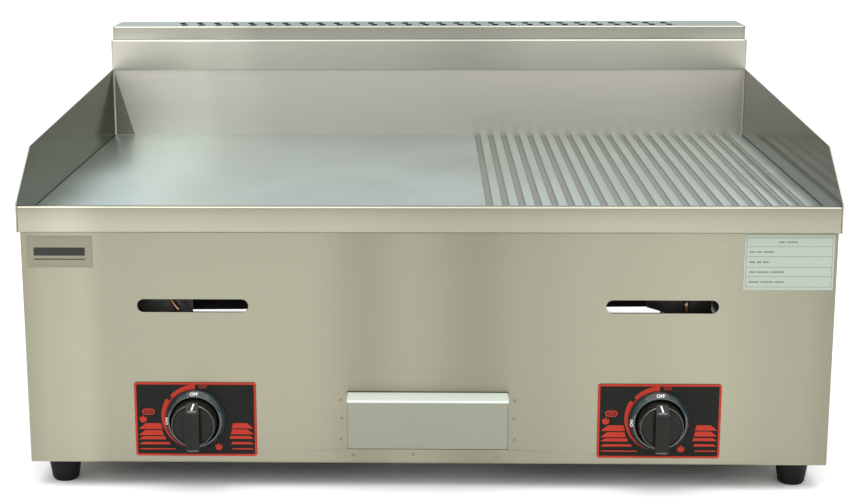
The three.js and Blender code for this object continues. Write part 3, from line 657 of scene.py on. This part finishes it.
def back_screws():
    """Pan-head screws with a raised cross, along the back panel's top and bottom."""
    back = Box("back_panel")
    head = [(0, 2.2), (1.6, 2.1), (2.9, 1.5), (3.6, 0.7), (3.7, 0.05)]
    blade = ((-2, -0.3), (2, -0.3), (2, 0.3), (-2, 0.3))
    rows = (back.z0 + 10 * MM, back.z1 - 10 * MM)
    bm = bmesh.new()
    for x, z in [(f * back.x1, z) for f in (-0.97, -0.33, 0.33, 0.97) for z in rows]:
        merge(bm, lathe([(r * MM, back.y1 + h * MM) for r, h in head], (x, 0, z), count=24))
        for turn in (20, 110):
            c, s = cos(radians(turn)), sin(radians(turn))
            cross = [(x + (u * c - v * s) * MM, z + (u * s + v * c) * MM) for u, v in blade]
            prism(bm, cross, back.y1 + 1.4 * MM, back.y1 + 2.25 * MM)
    piece("panel_back_screws", bm, zinc, "galvanised", sharp=40)


front_panel()
weld_marks()
back_panel()
for side, s in SIDES.items():
    side_panel(side, s)
    for end in ("front", "rear"):
        foot(f"foot_{end}_{side}")
back_screws()

# ---- Griddle top ----


def front_rail():
    """The rail across the front: a rounded fold at its top, a hem along its lower edge."""
    rail = Box("front_rail")
    t = HEAVY_SHEET
    y0, y1 = rail.y0 + t / 2, rail.y1 - t / 2
    z0, z1 = rail.z0, rail.z1 - t / 2
    hem, drop, fold = 3.2 * MM, 11 * MM, 1.5 * MM
    line = [(y0 + hem, z0 + t / 2), (y0, z0 + t / 2), (y0, z1), (y1, z1), (y1, z1 - drop)]
    bm = fold_x(line, fold, rail.x0, rail.x1)
    sheet_piece("top_rail", bm, steel_rail, ["front_rail"], t)


def side_shield(side):
    """A low sheet that rises from the front rail to a knee, and less steeply to the splash panel's top."""
    node = Box("side_shield_" + side)
    splash, rail = Box("splash_panel"), Box("front_rail")
    low, y0, y1, top = node.z0, node.y0, node.y1, node.z1
    knee = (y0 + 63 * MM, rail.z1 + 43.6 * MM)
    nose = (y0 + 1.4 * MM, rail.z1 + 4 * MM)
    outline = [(y0, low), (y1, low), (y1, top), (splash.y0, top)]
    outline += [(p.x, p.y) for p in filleted([(splash.y0, top), knee, nose, (y0, low)], 5 * MM)[1:-1]]
    bm = bmesh.new()
    prism(bm, outline, node.x0, node.x1, "YZ")
    # the inner faces, marked 1, take the painted-shade look
    for face in bm.faces:
        face.material_index = int(abs(face.calc_center_median().x) < abs(node.middle.x) - 0.1 * MM)
    piece("top_shield_" + side, bm, steel_side, "stainless", stands_for=["side_shield_" + side],
          edge=0.45 * MM, second=shaded_shield_looks[side])


def griddle_plate():
    """Thick steel with round-bottomed grooves over its right half and eased edges."""
    plate = Box("griddle_plate")
    top, bottom, ease = plate.z1, plate.z0, 0.9 * MM
    first, pitch, count, half, depth = 58 * MM, 15.1 * MM, 20, 3.2 * MM, 1.6 * MM
    line = [(plate.x0, bottom)] + arc(plate.x0 + ease, top - ease, ease, 180, 90, 4)
    half_turn = [pi * k / 8 for k in range(9)]
    for i in range(count):
        x = first + i * pitch
        line.append((x - half - 0.25 * MM, top))
        line += [(x - half * cos(t), top - 0.12 * MM - depth * sin(t)) for t in half_turn]
        line.append((x + half + 0.25 * MM, top))
    line += arc(plate.x1 - ease, top - ease, ease, 90, 0, 4) + [(plate.x1, bottom)]
    bm = bmesh.new()
    prism(bm, line, plate.y0, plate.y1)
    for face in bm.faces:
        middle = face.calc_center_median()
        in_groove = top - 2 * depth < middle.z < top - 0.05 * MM and abs(middle.x) < plate.x1 - ease
        face.material_index = int(in_groove and len(face.verts) == 4)
    piece("top_plate", bm, cooking_steel, "plate_steel", stands_for=["griddle_plate"], edge=0.35 * MM,
          sharp=28, second=groove_steel)


def splash_panel():
    """The sheet behind the plate, with its top folded back."""
    splash = Box("splash_panel")
    hidden = 1.5 * MM  # the fold at its top lies behind the flue band
    y, top = splash.y0 + SHEET / 2, splash.z1 + hidden - SHEET / 2
    reach = 0.2 * MM  # the welded corners leave no gap
    low, fold = splash.z0 + 13 * MM, 0.9 * MM
    bm = fold_x([(y, low), (y, top), (splash.y1, top)], fold, splash.x0 - reach, splash.x1 + reach)
    # the back of the sheet and its cut edges are painted shade
    sheet_piece("top_splash", bm, steel_splash, ["splash_panel"], second=painted_shade)


def corner_weld(side, s):
    """The polished bead where a shield meets the splash panel."""
    splash, plate = Box("splash_panel"), Box("griddle_plate")
    x, y, radius = s * (splash.x1 + 0.3 * MM), splash.y0, 1.5 * MM
    line = arc(x, y, radius, 180, 270, 6) if s > 0 else arc(x, y, radius, 270, 360, 6)
    bm = bmesh.new()
    prism(bm, [(x, y), *line], plate.z1 + 0.3 * MM, splash.z1, "XY")
    piece("top_corner_weld_" + side, bm, steel_weld, "stainless")


def painted_reflection_triangle():
    """A painted reflection: a thin darker triangle in the splash panel's left corner, where the dark left
    shield is reflected.
    """
    splash, plate = Box("splash_panel"), Box("griddle_plate")
    width, foot_z = 22 * MM, plate.z1 + 0.4 * MM
    bm = bmesh.new()
    outline = [(splash.x0, foot_z), (splash.x0 + width, foot_z), (splash.x0, splash.z1)]
    prism(bm, outline, splash.y0 - 0.12 * MM, splash.y0 + 0.1 * MM)
    piece("top_corner_triangle", bm, steel_painted_reflection, "stainless")


def cap(bm, box, corner, steps, holes):
    """Rings round a box at (margin, height) steps. The last one is closed across, unless holes is None."""
    rings = []
    for margin, z in steps:
        radius = max(corner - margin, 0.3 * MM)
        ring = round_rect(box[0] + margin, box[1] - margin, box[2] + margin, box[3] - margin, radius)
        rings.append([(x, y, z) for x, y in ring])
    for a, b in zip(rings, rings[1:]):
        strip(bm, a, b, closed=True)
    if holes is not None:
        fill(bm, [rings[-1]] + [[(x, y, rings[-1][0][2]) for x, y in hole] for hole in holes])


def bent_in(radius, top):
    """(margin, height) steps of a fold from upright to level."""
    return [(radius - radius * cos(t), top - radius + radius * sin(t)) for t in QUARTER_TURN]


def flue_collar():
    """The band round the flue, open at its top."""
    collar = Box("flue_collar")
    t, mouth, corner, fold = HEAVY_SHEET, 4.2 * MM, 2.6 * MM, 1.8 * MM
    base = (collar.x0 + t / 2, collar.x1 - t / 2, collar.y0 + t / 2, collar.y1 - t / 2)
    low, top = collar.z0 - 0.25 * MM, collar.z1 - t / 2
    bm = bmesh.new()
    cap(bm, base, corner, [(0, low)] + bent_in(fold, top) + [(mouth, top)], None)
    # the inside of the band and its cut edges are painted shade
    sheet_piece("flue_band", bm, steel_band, ["flue_collar"], t, 0.25 * MM, second=painted_shade)


def flue_lid():
    """A low lid with two staggered rows of oblong vents."""
    lid, foot_z = Box("flue_lid"), Box("flue_lid_skirt").z0 + 0.5 * MM
    base = (lid.x0 + SHEET / 2, lid.x1 - SHEET / 2, lid.y0 + SHEET / 2, lid.y1 - SHEET / 2)
    top, corner, fold, hem = lid.z1 - SHEET / 2, 3.0 * MM, 1.2 * MM, 1.6 * MM
    width, length, pitch, count = 7.0 * MM, 19 * MM, 20 * MM, 29
    centre, skew, rows = -4 * MM, 4.4 * MM, (239 * MM, 259 * MM)
    holes = []
    for i in range(count):
        x = centre + (i - (count - 1) / 2) * pitch
        for y, shift in zip(rows, (skew / 2, -skew / 2)):
            holes.append(slot_loop(x + shift, y, (length - width) / 2, width / 2, upright=True, count=7))
    bm = bmesh.new()
    cap(bm, base, corner, [(hem, foot_z), (0, foot_z)] + bent_in(fold, top), holes)
    # the underside and the cut walls of the vents are painted shade, so that the vents look black
    sheet_piece("flue_cap", bm, steel_cap, ["flue_lid", "flue_lid_skirt"], second=painted_shade)


front_rail()
griddle_plate()
splash_panel()
painted_reflection_triangle()
flue_collar()
flue_lid()
for side, s in SIDES.items():
    side_shield(side)
    corner_weld(side, s)
finish_node("grease_trough", steel)
finish_node("drain_spout", steel)

# ---- Drip drawer ----


def drawer_front():
    """A sheet whose top is folded out to a sloping lip with a rounded hem."""
    node = Box("drawer_front")
    face, top = FACE + SHEET / 2, node.z1 - SHEET / 2
    edge, drop, hem = node.y0 + 1.2 * MM, 2.4 * MM, 0.6 * MM
    bend = 1.3 * MM
    low = top - drop
    line = filleted([(face, node.z0), (face, top), (edge, low)], bend)
    half_turn = [pi * i / 6 for i in range(1, 6)]
    line += [Vector((edge - hem * sin(t), low - hem + hem * cos(t))) for t in half_turn]
    line += [Vector((edge, low - 2 * hem)), Vector((edge + 8 * MM, low - 2 * hem + drop * 0.42))]
    bm = bmesh.new()
    strip(bm, [(node.x0, y, z) for y, z in line], [(node.x1, y, z) for y, z in line])
    # the lip's faces take the paler look, a painted reflection of the light above
    for each in bm.faces:
        if each.calc_center_median().y < face - bend:
            each.material_index = 1
    made = sheet_piece("drawer_face", bm, steel_drawer, ["drawer_front"], SHEET * 0.96, body="drawer",
                       sharp=60, second=steel_lip_painted_reflection)
    made.modifiers["sheet"].material_offset = made.modifiers["sheet"].material_offset_rim = 0


drawer_front()
finish_node("drawer_tray", steel_side)
finish_node("drawer_guide", zinc)

# ---- Controls ----


def at_knob(x, z, points):
    """Points given in millimetres from a knob's axis, as (X, Z) in metres."""
    return [(x + px * MM, z + pz * MM) for px, pz in points]


def control_plate(side, x, z):
    """The black film with its red border. Returns the depth that ink on it lies at."""
    plate, spindle_hole = Box("control_plate_" + side), 9 * MM
    bm = bmesh.new()
    loops = (inset(plate, 0, 2.6 * MM), circle(x, z, spindle_hole))
    fill(bm, [[(px, plate.middle.y, pz) for px, pz in loop] for loop in loops])
    piece("control_film_" + side, bm, panel_black, "panel_black", stands_for=["control_plate_" + side],
          sheet=plate.y1 - plate.y0, edge=0.08 * MM)
    ink = plate.y0 - 0.02 * MM
    border = [inset(plate, 0.1 * MM, 2.5 * MM), inset(plate, 2.0 * MM, 1.2 * MM)]
    decal("control_border_" + side, border, ink, red_ink, "panel_black")
    return ink


def heat_arc(start, end, thick):
    """A ring sector, thick[0] thick at its start and thick[1] at its end, anticlockwise from the top."""
    inner, count = 28.0, 24
    outside, inside = [], []
    for i in range(count):
        f = i / (count - 1)
        angle = radians(90 + start + (end - start) * f)
        radius = inner + thick[0] + (thick[1] - thick[0]) * f
        outside.append((radius * cos(angle), radius * sin(angle)))
        inside.append((inner * cos(angle), inner * sin(angle)))
    return outside + inside[::-1]


def flame(cx, cz, size):
    """A plain flame: a round base drawn up to three licks."""
    licks = [(-0.5, 0.1), (-0.42, 0.42), (-0.25, 0.16), (0, 0.62), (0.22, 0.14), (0.44, 0.4), (0.5, 0.05)]
    lower_half = [-pi * i / 12 for i in range(1, 12)]
    base = [(0.5 * cos(t), -0.06 + 0.46 * sin(t)) for t in lower_half]
    return [(cx + size * px, cz + size * pz) for px, pz in licks + base]


def control_graphics(side, x, z, ink):
    """A heat scale that thins out anticlockwise, two flames, a pill, and bars that thin out downwards."""
    def draw(name, points, look=red_ink, depth=ink):
        decal(f"control_{name}_{side}", [at_knob(x, z, points)], depth, look, "panel_black")

    draw("scale_high", heat_arc(0, 46, (4.6, 3.6)))
    draw("scale_link", heat_arc(46.2, 53.8, (1.1, 1.1)))
    draw("scale_middle", heat_arc(54, 112, (4.6, 2.2)))
    draw("scale_low", heat_arc(112.2, 172, (2.2, 0.3)))
    draw("flame_high", flame(-48, -0.4, 6.2))
    draw("flame_low", flame(20.5, -26.6, 6.2))
    draw("pill", slot_loop(-43, 6.6, 2.7, 2.9))
    draw("pill_core", slot_loop(-43, 6.6, 2.5, 2.0), dark_red_ink, ink - 0.05 * MM)
    # Each bar's top, its height, and where its end nearer to the knob is.
    left = [(-4.4, 5.4, -32), (-10.9, 4.8, -31), (-16.8, 3, -28.4), (-22.4, 2.2, -24.6), (-28.4, 1.1, -19.5)]
    right = [(-4, 5.0, 34), (-10, 4.6, 33), (-16.2, 2.8, 31.4), (-22, 2.2, 32.6), (-28, 1.1, 33.2)]
    for bank, bars, far in (("left", left, -51.8), ("right", right, 52.2)):
        out = copysign(1, far)
        for i, (top, tall, near) in enumerate(bars):
            low, slant, lean = top - tall, out * tall * 1.15, out * tall * 0.3
            points = [(near, top), (near - lean, low), (far, low), (far, low + 0.5), (far - slant, top)]
            draw(f"bar_{bank}_{i}", points)
    upright = Matrix.Rotation(pi / 2, 4, "X")
    over_pill = ink - 0.08 * MM
    for words, height, px, pz, depth in (("OFF", 2.9, 7, 30, ink), ("ON", 2.2, -43, 6.6, over_pill)):
        place = Matrix.Translation((x + px * MM, depth, z + pz * MM)) @ upright
        lettering(f"control_{words.lower()}_{side}", words, height * MM, red_ink, place)


def bezel(side, x, z):
    """A fixed ring with a flared, glossy skirt."""
    ring = Box("bezel_" + side)
    back, inner, outer = ring.y1, 22.4 * MM, (ring.x1 - ring.x0) / 2
    mouth = ring.y0 + 0.7 * MM
    profile = [
        (inner, back), (outer, back), (outer, back - 1.4 * MM), (outer - 1.5 * MM, back - 4.6 * MM),
        (outer - 3.6 * MM, mouth), (outer - 5.0 * MM, ring.y0), (inner, mouth), (inner, back),
    ]
    eased = rounded_profile(profile, 0.45 * MM)
    # the ring's blue-green tint is a painted reflection
    piece("bezel_ring_" + side, lathe(eased, (x, 0, z), count=96), bezel_painted_reflection, "black_plastic",
          stands_for=["bezel_" + side], sharp=60)
    slope = atan2(2.1, 2.5)  # of the skirt, where the words are
    on_skirt = Matrix.Translation((0, back - 6.9 * MM, outer - 2.6 * MM))
    tilt = Matrix.Rotation(pi / 2 - slope, 4, "X")
    for words, turn in (("OFF", 0), ("ON", pi / 2)):
        spin = Matrix.Rotation(-turn, 4, "Y")
        place = Matrix.Translation((x, 0, z)) @ spin @ on_skirt @ tilt
        lettering(f"bezel_{words.lower()}_{side}", words, 3.0 * MM, white_ink, place)


def knob(side, x, z):
    """A tapered disc whose face has a rim with a painted highlight, and a grip whose upper end slopes back to
    the pointer.
    """
    box = Box("knob_" + side)
    front_y, back_y = box.y0, box.y1
    disc_y = FACE - 21.5 * MM
    wide, radius = (box.x1 - box.x0) / 2, 19.5 * MM
    body = "control_" + side
    profile = [
        (0, disc_y + 0.8 * MM), (radius - 2.0 * MM, disc_y + 0.8 * MM), (radius - 1.5 * MM, disc_y),
        (radius - 0.7 * MM, disc_y), (radius, disc_y + 1.0 * MM), (wide, back_y), (wide - 1.6 * MM, back_y),
        (radius - 1.6 * MM, disc_y + 4 * MM), (0, disc_y + 4 * MM),
    ]
    disc = lathe(rounded_profile(profile, 0.35 * MM), (x, 0, z), count=96)
    # the rim of the face takes the painted highlight
    for face in disc.faces:
        middle = face.calc_center_median()
        out = hypot(middle.x - x, middle.z - z)
        at_rim = radius - 1.0 * MM < out < radius + 0.3 * MM
        face.material_index = int(at_rim and middle.y < disc_y + 1.2 * MM)
    piece("knob_disc_" + side, disc, knob_black, "black_plastic", body, ["knob_" + side], sharp=55,
          second=knob_painted_highlight)
    half, top, bottom, drop = 6.4 * MM, 20.9 * MM, box.z0 - z, 8.6 * MM
    root, crest, hang = disc_y + 4 * MM, disc_y + 1.5 * MM, disc_y + 0.6 * MM
    line = [(root, top), (crest, top), (front_y, top - drop), (front_y, bottom + 2.5 * MM)]
    line += [(front_y + 3 * MM, bottom), (hang, bottom)]
    notch = bottom + 6.5 * MM  # over it the grip is as deep as the disc
    side_line = [(p.x, p.y) for p in filleted(line, 1.0 * MM)] + [(hang, notch), (root, notch)]
    bm = bmesh.new()
    prism(bm, [(y, z + h) for y, h in side_line], x - half, x + half, "YZ")
    # the grip's lower end takes the painted highlight
    for face in bm.faces:
        face.material_index = int(face.calc_center_median().z < z + bottom + 1.4 * MM)
    narrow_foot, narrow_top, end = 0.62, 0.85, 0.8 * MM
    for vert in bm.verts:
        at_foot, at_top = vert.co.z < z + bottom + end, vert.co.z > z + top - end
        vert.co.x = x + (vert.co.x - x) * (narrow_foot if at_foot else narrow_top if at_top else 1)
    grip = piece("knob_grip_" + side, bm, knob_black, "black_plastic", body, sharp=30, second=knob_painted_highlight)
    round_edges(grip, 1.2 * MM, 40, 4)
    run = Vector((0, front_y - crest, -drop))
    slope = atan2(-run.y, -run.z)
    tilt = Matrix.Translation(Vector((x, crest, z + top)) + run * 0.5) @ Matrix.Rotation(-slope, 4, "X")
    lean = -SIDES[side]  # the two pointers lean towards each other
    marks = {
        "pointer": (white_ink, [(-1.2, -1.4), (0.3, -1.4), (1.9, 4.9), (0.6, 4.9)]),
        "underline": (grey_ink, [(-3.8, -3.2), (3.8, -3.2), (3.8, -2.1), (-3.8, -2.1)]),
    }
    for name, (ink, points) in marks.items():
        bm = bmesh.new()
        prism(bm, [(lean * px * MM, pz * MM) for px, pz in points], -0.12 * MM, 0.1 * MM)
        bm.transform(tilt)
        piece(f"knob_{name}_{side}", bm, ink, "black_plastic", body)


def return_spring(side, x, z):
    """Round wire wound along Y. It rides with the valve plug and keeps its length; nothing here shortens it
    as the knob is pushed in.
    """
    box = Box("return_spring_" + side)
    wire, turns, steps, around = 0.45 * MM, 4, 28, 8  # steps in a turn, and sides round the wire
    radius = (box.x1 - box.x0) / 2 - wire
    front_y, back_y = box.y0 + wire, box.y1 - wire
    rings = []
    for i in range(turns * steps + 1):
        turn = 2 * pi * i / steps
        out = Vector((cos(turn), 0, sin(turn)))
        centre = Vector((x, front_y + (back_y - front_y) * i / (turns * steps), z)) + out * radius
        ring = [2 * pi * k / around for k in range(around)]
        rings.append([centre + wire * (out * cos(a) + Vector((0, sin(a), 0))) for a in ring])
    bm = bmesh.new()
    for ring, after in zip(rings, rings[1:]):
        strip(bm, ring, after, closed=True)
    for end in (rings[0], rings[-1]):
        bm.faces.new([bm.verts.new(p) for p in end])
    spring = piece("valve_spring_" + side, bm, zinc, "galvanised", "plug_" + side, ["return_spring_" + side],
                   sharp=60)
    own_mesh(spring)


for side in SIDES:
    axis = Box("bezel_" + side).middle
    depth = control_plate(side, axis.x, axis.z)
    control_graphics(side, axis.x, axis.z, depth)
    bezel(side, axis.x, axis.z)
    knob(side, axis.x, axis.z)
    return_spring(side, axis.x, axis.z)
    finish_node("spindle_" + side, aluminium, 0.15)
    finish_node("valve_body_" + side, aluminium)
    finish_node("valve_plug_" + side, brass)
    finish_node("piezo_igniter_" + side, knob_black, 0.6)

# ---- Burners and gas lines ----

for side in SIDES:
    finish_node("burner_" + side, iron, 0.3)
    finish_node("air_shutter_" + side, zinc, 0.1)
    finish_node("injector_" + side, brass)
    finish_node("burner_bracket_" + side, zinc, 0.15)
    finish_node("electrode_" + side, porcelain, 0.15)
    finish_node("ignition_lead_" + side, silicone, 0.05, 60)
    finish_node("feed_tube_" + side, copper, 0.1, 60)
    finish_node("plate_ledge_" + side, zinc)
for node in ("base_cross_bar", "burner_front_bar", "burner_rear_bar"):
    finish_node(node, zinc)
finish_node("gas_manifold", zinc, 0.1, 60)
finish_node("gas_inlet_nipple", brass)

# ---- Labels ----


def thin_label(name, node, look, slot):
    """A sticker on the front panel. Returns its box and the depth that ink on it lies at."""
    box = Box(node)
    bm = bmesh.new()
    prism(bm, inset(box, 0, 1.0 * MM), box.y1 - 0.12 * MM, box.y1 + 0.25 * MM)
    piece(name, bm, look, slot, stands_for=[node], edge=0.05 * MM)
    return box, box.y1 - 0.15 * MM


def bar(x0, x1, z0, z1):
    return [(x0, z0), (x1, z0), (x1, z1), (x0, z1)]


def rating_label():
    """A ruled form with dashes in place of its words."""
    box, ink = thin_label("label_rating", "rating_label", label_film, "label_paper")

    def draw(name, *loops):
        decal("label_" + name, loops, ink, grey_ink, "label_paper")

    line, margin = 0.4 * MM, 1.6 * MM
    x0, x1, z0, z1 = box.x0 + margin, box.x1 - margin, box.z0 + margin * 1.6, box.z1 - margin * 1.4
    rows = [z0 + (z1 - z0) * f for f in (0.21, 0.40, 0.61, 0.81)]
    draw("frame", bar(x0, x1, z0, z1), bar(x0 + line, x1 - line, z0 + line, z1 - line))
    for i, z in enumerate(rows):
        draw(f"rule_{i}", bar(x0 + line, x1 - line, z, z + line))
    rng = random.Random(4)
    heights = [(a + b) / 2 for a, b in zip([z0] + rows, rows + [z1])]
    dashes = ((9, 11, 8), (6, 10, 12), (5, 4, 5), (5, 4, 9), (5, 10))  # widths, from the lowest row up
    for i, (z, widths) in enumerate(zip(heights, dashes)):
        title = i == len(rows)
        x = (x0 + x1) / 2 - 9.5 * MM if title else x0 + 3 * MM
        for j, width in enumerate(widths):
            wide, tall = width * MM, rng.uniform(0.65, 0.85) * MM
            draw(f"dash_{i}_{j}", bar(x, x + wide, z - tall, z + tall))
            x += wide + 1.5 * MM


def foil_badge():
    """A foil badge with a thin printed border and a plain bar in place of its words."""
    box, ink = thin_label("badge_foil_plate", "foil_badge", foil, "foil")
    margin, line = 1.4 * MM, 0.3 * MM
    border = [inset(box, margin, 1.0 * MM), inset(box, margin + line, 0.8 * MM)]
    decal("badge_border", border, ink, grey_ink, "foil")
    x, z, half = box.middle.x, box.middle.z, 23 * MM
    for name, low, high in (("bar", -3.5, 4.0), ("rule", -7.2, -6.2)):
        words = round_rect(x - half, x + half, z + low * MM, z + high * MM, 0.4 * MM)
        decal("badge_" + name, [words], ink, dark_ink, "foil")


rating_label()
foil_badge()

# ---- Floor, light and camera ----

# What stands round the object, as tones of light: 0.5 is in front of it, 0.25 to its left, 0 and 1 behind it.
REAR = (0.395, 0.475, 0.52)
ROOM = [
    (0.0, REAR), (0.2, (0.30, 0.30, 0.30)), (0.4, (0.45, 0.45, 0.45)), (0.5, (0.62, 0.62, 0.62)),
    (0.6, (0.50, 0.50, 0.50)), (0.8, (0.30, 0.30, 0.30)), (1.0, REAR),
]
ROOM_STRENGTH = 1.4


def floor():
    mesh = bpy.data.meshes.new("floor")
    half = 30
    corners = [(-half, -half, 0), (half, -half, 0), (half, half, 0), (-half, half, 0)]
    mesh.from_pydata(corners, [], [(0, 1, 2, 3)])
    made = add_object("floor", mesh)
    look = Look("floor_white", (0.93, 0.93, 0.93), 0.0, 0.9)
    look.set("Specular IOR Level", 0.0)
    mesh.materials.append(look.material)


def overhead_light():
    data = bpy.data.lights.new("overhead", "AREA")
    data.shape, data.size, data.size_y, data.energy = "RECTANGLE", 3.0, 2.0, 45
    made = add_object("overhead", data)
    made.location = (0.0, -0.9, 2.5)
    ahead = Vector((0, -0.2, 0.2)) - made.location
    made.rotation_euler = ahead.to_track_quat("-Z", "Y").to_euler()


def studio():
    """A room bright above and in front of the object and duller to its sides."""
    world = bpy.data.worlds.new("studio")
    bpy.context.scene.world = world
    world.use_nodes = True
    tree = world.node_tree

    def ramp(fac, stops):
        made = tree.nodes.new("ShaderNodeValToRGB")
        set_stops(made, stops)
        tree.links.new(fac, made.inputs["Fac"])
        return made.outputs["Color"]

    def math_node(operation, a, b):
        made = tree.nodes.new("ShaderNodeMath")
        made.operation = operation
        give(tree, made.inputs[0], a)
        give(tree, made.inputs[1], b)
        return made.outputs[0]

    place = tree.nodes.new("ShaderNodeTexCoord")
    parts = tree.nodes.new("ShaderNodeSeparateXYZ")
    tree.links.new(place.outputs["Generated"], parts.inputs[0])
    x, y, z = parts.outputs
    azimuth = math_node("DIVIDE", math_node("ARCTAN2", x, math_node("MULTIPLY", y, -1.0)), 2 * pi)
    around = ramp(math_node("ADD", azimuth, 0.5), ROOM)
    height = ramp(z, [(0.15, (0, 0, 0)), (0.6, (1, 1, 1))])
    blend = tree.nodes.new("ShaderNodeMix")
    blend.data_type = "RGBA"
    tree.links.new(height, blend.inputs["Factor"])
    tree.links.new(around, blend.inputs[6])
    blend.inputs[7].default_value = (1, 1, 1, 1)
    background = tree.nodes["Background"]
    tree.links.new(blend.outputs[2], background.inputs["Color"])
    background.inputs["Strength"].default_value = ROOM_STRENGTH


def camera():
    """A camera in front of the object and a little above it, with its frame shifted to centre the object."""
    data = bpy.data.cameras.new("camera")
    made = add_object("camera", data)
    bpy.context.scene.camera = made
    pitch, yaw, roll = 0.2224, -0.0276, -0.0042
    ahead = Vector((sin(yaw) * cos(pitch), cos(yaw) * cos(pitch), -sin(pitch)))
    right = Vector((cos(yaw), -sin(yaw), 0))
    up = right.cross(ahead)
    turned_right = cos(roll) * right + sin(roll) * up
    turned_up = -sin(roll) * right + cos(roll) * up
    axes = Matrix((turned_right, turned_up, -ahead)).transposed()
    made.matrix_world = Matrix.Translation((0.0011, -1.7654, 0.5630)) @ axes.to_4x4()
    data.sensor_width, data.lens = 36, 72.255
    data.shift_x, data.shift_y = 0.0563, -0.0021


floor()
studio()
overhead_light()
camera()
bpy.context.scene.view_settings.view_transform = "Standard"
